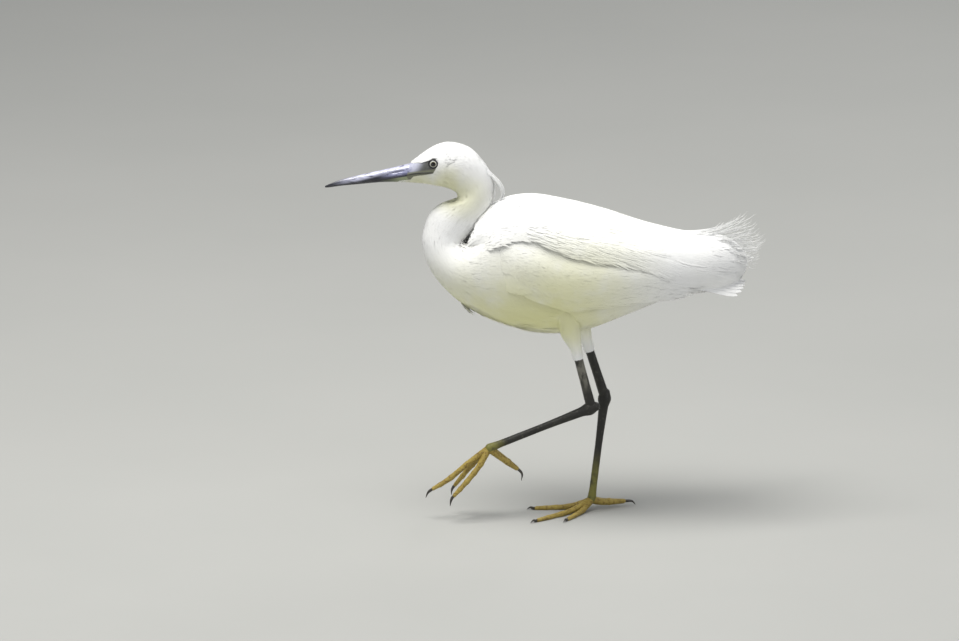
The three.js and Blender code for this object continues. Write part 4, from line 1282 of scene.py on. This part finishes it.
def bill_half(upper):
    s = np.linspace(0, 1, 150)
    mouth = BILL_LINES[1](s)
    far = BILL_LINES[0 if upper else 2](s)
    half = mouth[:, 1] * (1 if upper else 0.97)
    flat = np.array([1.0, 0, 1.0])
    mouth, far = mouth * flat, far * flat
    away = far - mouth
    base = mouth + unit(away) * MOUTH_GAP / 2
    turn = np.linspace(0, math.pi, 33)
    rise = np.sin(turn) ** (0.82 if upper else 0.9)
    wide = np.sign(np.cos(turn)) * np.abs(np.cos(turn)) ** 0.9
    groove = np.zeros((len(s), len(turn)))
    if upper:
        x = base[:, 0]
        along = smoothstep(x, -190, -150) * smoothstep(x, -134, -141)
        groove = 0.55 * along[:, None] * np.exp(-(((rise - 0.55) / 0.13) ** 2))[None]
        slit = smoothstep(x, NOSTRIL_TO - 1, NOSTRIL_TO + 1.5)
        slit = slit * smoothstep(x, NOSTRIL_FROM + 1, NOSTRIL_FROM - 1.5)
        groove = groove + 1.5 * slit[:, None] * np.exp(-(((rise - 0.56) / 0.06) ** 2))[None]
    width = half[:, None] * wide[None] * (1 - groove / np.maximum(half[:, None], 2))
    rings = base[:, None] + away[:, None] * rise[None, :, None]
    rings = rings + np.stack([0 * width, width, 0 * width], axis=-1)
    return loft(rings)


for name, upper in (("bill_upper", True), ("bill_lower", False)):
    points, quads, tris = bill_half(upper)
    piece = make(f"{name}_horn", points, [quads, tris], bill_look(f"{name}_look", not upper))
    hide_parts(name)

# The dark line inside the mouth, and the fold of the gape behind the bill.
inside = curve([(rib[1][0], 0, rib[1][1]) for rib in BILL_RIBS])(np.linspace(0.02, 0.97, 30))
width = curve([(rib[3], 0, 0) for rib in BILL_RIBS])(np.linspace(0.02, 0.97, 30))[:, 0] * 0.8
turn = np.arange(12) / 12 * 2 * math.pi
rings = inside[:, None] + np.stack([
    0 * width[:, None] * turn,
    width[:, None] * np.cos(turn)[None],
    0.35 * np.sin(turn)[None] + 0 * width[:, None],
], axis=-1)
points, quads, tris = loft(rings)
piece = make("mouth_line", points, [quads, tris], LID)

GAPE = [(-139.5, 349.1), (-130.2, 351.7), (-122.5, 353.2), (-115, 353.8), (-110.2, 354.1)]
for name, sign in (("left", -1), ("right", 1)):
    path = [(x, sign * (side_of_head(x, z) - 0.45), z) for x, z in GAPE[1:]]
    path.insert(0, (GAPE[0][0], sign * 6.5, GAPE[0][1]))
    tube(f"gape_{name}", LID, path, [0.35, 0.55, 0.55, 0.45, 0.2], sides=12, steps=40)

CHIN = (-131.0, -151.0)
chin_steps = np.linspace(0, 1, 400)
mouth_line, lower_line = (BILL_LINES[k](chin_steps) for k in (1, 2))


def chin_point(s, angle):
    """The lower half of the bill near its base, a little swollen, where small feathers grow on it."""
    x = CHIN[0] + (CHIN[1] - CHIN[0]) * s
    low = np.interp(-x, -lower_line[:, 0], lower_line[:, 2])
    high = np.interp(-x, -mouth_line[:, 0], mouth_line[:, 2])
    wide = np.interp(-x, -mouth_line[:, 0], mouth_line[:, 1]) + 0.1
    return np.stack([x, wide * np.sin(angle), low - 0.1 + (high - low) * (1 - np.cos(angle))], -1)


chin = Surface(chin_point, (0, 1), (-1.5, 1.5), (60, 60)).facing(0.3, 0.0, -UP)


def chin_feathered(u, v, points):
    narrow = 1 - 0.85 * smoothstep(points[..., 0], -140, CHIN[1])
    return (points[..., 2] < feather_edge(points[..., 0]) - 0.3) & (np.abs(v) < 1.45 * narrow)


pile = Pile()
u, v = chin.scatter(0.5 / FINENESS, chin_feathered)
heading = math.pi + draw.normal(0, 0.2, len(u))
long_ = 2.6 * draw.uniform(0.7, 1.2, len(u))
lock_pile(pile, chin, u, v, heading, long_, 0.6, [-0.4, 0.05, 0.15, 0.1])
pile.make("coat_chin", PLUMAGE)

# The two long plumes of the nape, as paths with the radius of each bundle of barbs.
NAPE_PLUMES = [
    ([(-62, -2, 359), (-53.5, -2.5, 350), (-46, -3, 342), (-42.5, -3, 336.5), (-41, -2.5, 331.5),
      (-41.8, -2, 326), (-45, -1.5, 321)], 2.8),
    ([(-60, 1, 352), (-53.4, 0.5, 345), (-50.6, 0, 339), (-49.6, -0.5, 333), (-49.6, -1, 326.5),
      (-51, -1.5, 320)], 2.1),
]
NAPE_ROOT = np.array([[0.3, 0.5]])
NAPE_OUT = (0.3, -0.6, 0.75)


def plume(pile, path, radius):
    """A slim bundle of long barbs around a path, a little loose at its end."""
    n = int(16 * radius)
    turn, off = draw.uniform(0, 2 * math.pi, n), radius * 0.75 * np.sqrt(draw.random(n))
    s = np.linspace(0, 1, 26)
    loose = np.interp(s, [0, 0.12, 0.4, 0.8, 1], [0.4, 0.8, 1, 0.8, 0.5])
    _, up, side = frames_along(curve(path)(s))
    core = np.interp(np.linspace(0, 1, 25), [0, 0.15, 0.4, 0.8, 1], [0.6, 0.85, 1, 0.7, 0.3])
    strand_pile(pile, curve(path)(s)[None], radius * 1.5, NAPE_ROOT, core, NAPE_OUT)
    reach = draw.uniform(0.85, 1, n)
    for k in range(n):
        middle = curve(path)(s * reach[k])
        shift = np.cos(turn[k]) * up + np.sin(turn[k]) * side
        barb = middle + shift * (off[k] * loose * (1 + 0.15 * s * draw.normal()))[:, None]
        shares = np.interp(np.linspace(0, 1, 25), [0, 0.7, 1], [1, 0.85, 0.3])
        strand_pile(pile, barb[None], draw.uniform(0.7, 1.1), NAPE_ROOT, shares, NAPE_OUT)


crest = Pile()
for path, radius in NAPE_PLUMES:
    plume(crest, path, radius)
wisps = int(14 * FINENESS)
u = draw.uniform(5.0, 6.2, wisps)
v = draw.normal(0, 0.25, wisps) % (2 * math.pi)
heights = [-0.8, 0.2, 0.4, draw.uniform(0.4, 1.1, wisps)]
lock_pile(crest, body, u, v, draw.normal(0, 0.12, wisps), draw.uniform(9, 14, wisps), 1.1, heights)
crest.make("nape_plumes", PLUMAGE)


# Long narrow plumes that hang at the foot of the breast and lie back below it.
def breast_plumes():
    pile = Pile()
    n = int(260 * DENSITY)
    u = draw.uniform(13.7, 16.6, n)
    v = (math.pi + draw.normal(0, 0.2, n)) % (2 * math.pi)
    rise = draw.uniform(0.3, 1, n) * np.interp(u, [13.7, 14.6, 16.6], [0.8, 3.4, 3.0])
    long_ = draw.uniform(20, 36, n)
    heights = [-1.5, 0.2, rise * 0.35, rise * 0.65, rise]
    lock_pile(pile, body, u, v, draw.normal(0, 0.1, n), long_, 1.5, heights, 1.2, (0.7, 1, 0.85, 0.55))
    n = int(40 * FINENESS)
    u, v = draw.uniform(14.35, 14.65, n), math.pi + draw.normal(0, 0.1, n)
    rise = draw.uniform(2.5, 6, n)
    heights = [-1.2, 0.6 + rise * 0.2, 0.6 + rise * 0.7, rise]
    lock_pile(pile, body, u, v, draw.normal(0, 0.15, n), draw.uniform(12, 17, n), 1.7, heights, 1.4)
    pile.make("breast_plumes", PLUMAGE)


breast_plumes()


# Legs and feet
LEGS = {
    "left": {
        "ankle": (48, -24, 113),
        "foot": FOOT_PLACES[0],
        "toes": {
            "middle": [FOOT_PLACES[0], (-75, -24, 55.5), (-95.5, -24, 38.2), (-110.5, -24, 28.7)],
            "outer": [FOOT_PLACES[0], (-64, -29.5, 54.5), (-75.5, -34, 40.5), (-89.5, -38, 25.5)],
            "inner": [FOOT_PLACES[0], (-67.5, -17, 56), (-77.5, -12, 43), (-88.5, -8, 28)],
            "hallux": [FOOT_PLACES[0], (-43.5, -21.5, 62), (-34.5, -19.5, 54.5), (-26.5, -18.5, 48.3)],
        },
        "claws": {
            "middle": [(-115.6, -24, 24.6), (-117.8, -24, 19.2)],
            "outer": [(-92.6, -38.8, 20.2), (-93.4, -39.2, 15.2)],
            "inner": [(-91.6, -7.2, 22.8), (-92.2, -7, 17.4)],
            "hallux": [(-21.4, -17.8, 42.4), (-22, -17.4, 35.4)],
        },
    },
    "right": {"ankle": (61.5, 17, 113), "foot": FOOT_PLACES[1], "toes": {}, "claws": {}},
}
# The planted foot: each toe's heading, length and claw, then heights above the ground by share of length.
PLANTED_TOES = {"middle": (40, 71, 9), "outer": (3, 56, 9), "inner": (60, 48, 9), "hallux": (197, 34, 12)}
TOE_HEIGHTS = [(0, 10), (0.17, 6.4), (0.42, 3), (0.7, 2.1), (1, 1.7)]
HALLUX_HEIGHTS = [(0, 10), (0.25, 7.4), (0.6, 6), (1, 5.4)]
CLAW_HEIGHTS = [(0.62, 2.6), (1, 0.7)]
HALLUX_CLAW_HEIGHTS = [(0.7, 4.6), (1, 0.7)]
for name, (heading, length, claw) in PLANTED_TOES.items():
    way = np.array([-math.cos(math.radians(heading)), -math.sin(math.radians(heading))])
    foot = np.array(FOOT_PLACES[1][:2])
    toe_line, claw_line = TOE_HEIGHTS, CLAW_HEIGHTS
    if name == "hallux":
        toe_line, claw_line = HALLUX_HEIGHTS, HALLUX_CLAW_HEIGHTS
    toe_path = [(*(foot + way * share * length), height - GROUND_DROP) for share, height in toe_line]
    claw_path = [
        (*(foot + way * (length + share * claw)), height - GROUND_DROP) for share, height in claw_line
    ]
    LEGS["right"]["toes"][name], LEGS["right"]["claws"][name] = toe_path, claw_path

TOE_RADII = {"hallux": (4.2, 3.7, 3.2, 2.3)}
FRONT_TOE_RADII = (3.6, 2.75, 2.5, 1.9)
TOE_JOINTS = {
    "middle": (0.36, 0.62, 0.84), "outer": (0.3, 0.5, 0.7, 0.86), "inner": (0.45, 0.78), "hallux": (0.62,),
}


def scutes(count, height, share=0.5):
    """Plates across the front of a leg or toe, each a little raised and parted by a fine groove."""

    def relief(s, angle):
        phase = (s * count) % 1
        plate = 1 - np.abs(2 * phase - 1) ** 6
        front = np.clip(np.cos(angle - math.pi) - share + 1, 0, 1)
        return height * (plate - 0.6) * smoothstep(front, 0.2, 0.7)

    return relief


def toe_relief(joints):
    plates = scutes(22, 0.22, 0.2)

    def relief(s, angle):
        swell = sum(np.exp(-(((s - joint) / 0.035) ** 2)) for joint in joints)
        pads = sum(np.exp(-(((s - joint) / 0.06) ** 2)) for joint in joints)
        under = np.clip(np.cos(angle), 0, 1)
        return plates(s, angle) + 0.28 * swell + 0.25 * pads * under

    return relief


for side, leg in LEGS.items():
    ankle, foot = np.array(leg["ankle"]), np.array(leg["foot"])
    knee = np.array(THIGHS[side][2])
    end = np.array(THIGHS[side][3])
    way = unit(ankle - end)
    shank = tube(
        f"shank_skin_{side}", LEG, [knee, end, end + (ankle - end) * 0.5, ankle - way * 2],
        [4.2, 4.3, 4.5, 5.0], sides=28, steps=110, relief=scutes(30, 0.2),
    )
    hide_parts(f"shank_{side}")
    down = foot - ankle
    shares = (0.02, 0.1, 0.5, 0.88, 1)
    points = [ankle - unit(down) * 5] + [ankle + down * share for share in shares]
    tarsus = tube(
        f"tarsus_skin_{side}", LEG, points, [4.6, 6.6, 4.8, 3.5, 3.6, 4.6],
        sides=32, steps=220, relief=scutes(58, 0.26), floor=side == "right",
    )
    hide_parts(f"tarsus_{side}")
    for name, path in leg["toes"].items():
        toe = tube(
            f"toe_skin_{side}_{name}", FOOT, path, TOE_RADII.get(name, FRONT_TOE_RADII), sides=26, steps=150,
            relief=toe_relief(TOE_JOINTS[name]), floor=True,
        )
        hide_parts(f"toe_{side}_{name}")
        heading = unit(np.array(path[-1]) - curve(path)(0.93))
        start = np.array(path[-1]) + heading * 0.2
        bend, tip = (np.array(p) for p in leg["claws"][name])
        claw = tube(
            f"claw_horn_{side}_{name}", CLAW, [start, start + heading * 2.4, bend, tip],
            [1.45, 1.5, 1.1, 0.22], sides=20, steps=40, flat=0.8, floor=True,
        )
        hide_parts(f"claw_{side}_{name}")


def web(side):
    """The small web of skin between the bases of the outer and middle toes."""
    along = np.linspace(0, 1, 14)
    toes = LEGS[side]["toes"]
    outer, middle = (curve(toes[name])(0.05 + 0.31 * along) for name in ("outer", "middle"))
    across = np.linspace(0, 1, 12)[None, :, None]
    pull = 1 - 0.45 * np.sin(math.pi * across) * along[:, None, None]
    sheet = outer[:, None] * (1 - across) + middle[:, None] * across
    sheet = sheet[:1] + (sheet - sheet[:1]) * pull
    normal = unit(np.cross(np.gradient(sheet, axis=0), np.gradient(sheet, axis=1)) + 1e-6)
    points, quads = slab(sheet + normal * 0.5, sheet - normal * 0.5)
    points[:, 2] = np.maximum(points[:, 2], LOWEST)
    make(f"toe_web_{side}", points, [quads], FOOT)


web("left")
web("right")


# Floor, light and camera
floor_look = Look("floor_paper", Roughness=0.9)
floor_look.colour(floor_look.mix(floor_look.noise(3, 4), (0.38, 0.385, 0.37), (0.42, 0.42, 0.405)))
FLOOR_REACH = 9.0
floor_points = [(x * FLOOR_REACH, y * FLOOR_REACH, 0) for x, y in ((-1, -1), (1, -1), (1, 1), (-1, 1))]
floor_mesh = bpy.data.meshes.new("floor")
floor_mesh.from_pydata(floor_points, [], [(0, 1, 2, 3)])
floor_mesh.materials.append(floor_look.material)
floor = bpy.data.objects.new("floor", floor_mesh)
bpy.context.scene.collection.objects.link(floor)


def light(name, place, aim, size, power, colour):
    data = bpy.data.lights.new(name, "AREA")
    data.size = size
    data.energy = power
    data.color = colour
    lamp = bpy.data.objects.new(name, data)
    lamp.location = place
    way = np.array(aim) - np.array(place)
    lamp.rotation_euler = look_along(way)
    lamp.visible_camera = False
    bpy.context.scene.collection.objects.link(lamp)


def look_along(way):
    return Vector([float(c) for c in way]).to_track_quat("-Z", "Y").to_euler()


light("sky_key", (-0.55, -0.35, 2.6), (0, 0, 0.25), 1.4, 84, (1.0, 0.985, 0.95))
light("front_fill", (-2.4, -2.6, 1.0), (0, 0, 0.25), 2.0, 9, (0.94, 0.97, 1.0))
light("rear_fill", (2.4, -1.6, 1.5), (0.1, 0, 0.25), 1.6, 19, (0.98, 0.98, 1.0))
light("low_fill", (-1.2, -1.8, 0.26), (0, 0, 0.2), 0.5, 2.4, (1.0, 1.0, 0.98))
light("back_rim", (1.4, 2.0, 1.6), (0, 0, 0.28), 1.2, 16, (1.0, 1.0, 0.98))
world = bpy.data.worlds.new("soft_sky")
bpy.context.scene.world = world
world.use_nodes = True
world.node_tree.nodes["Background"].inputs[0].default_value = (0.93, 0.96, 1.0, 1)
world.node_tree.nodes["Background"].inputs[1].default_value = 0.28

# The camera looks down at the left side from far off. PHOTO_WIDTH is what the photograph spans, in metres.
CAMERA_TILT = math.radians(16)
CAMERA_DISTANCE = 20.0
CAMERA_AIM = np.array([-0.0640, 0.0, 0.2001])
SENSOR = 36
PHOTO_WIDTH = 0.959
ahead = np.array([0, math.cos(CAMERA_TILT), -math.sin(CAMERA_TILT)])
camera_data = bpy.data.cameras.new("camera")
camera_data.sensor_width = SENSOR
camera_data.lens = SENSOR * CAMERA_DISTANCE / PHOTO_WIDTH
camera = bpy.data.objects.new("camera", camera_data)
camera.location = CAMERA_AIM - ahead * CAMERA_DISTANCE
camera.rotation_euler = look_along(ahead)
bpy.context.scene.collection.objects.link(camera)
bpy.context.scene.camera = camera
bpy.context.scene.view_settings.view_transform = "Standard"

bpy.context.view_layer.update()
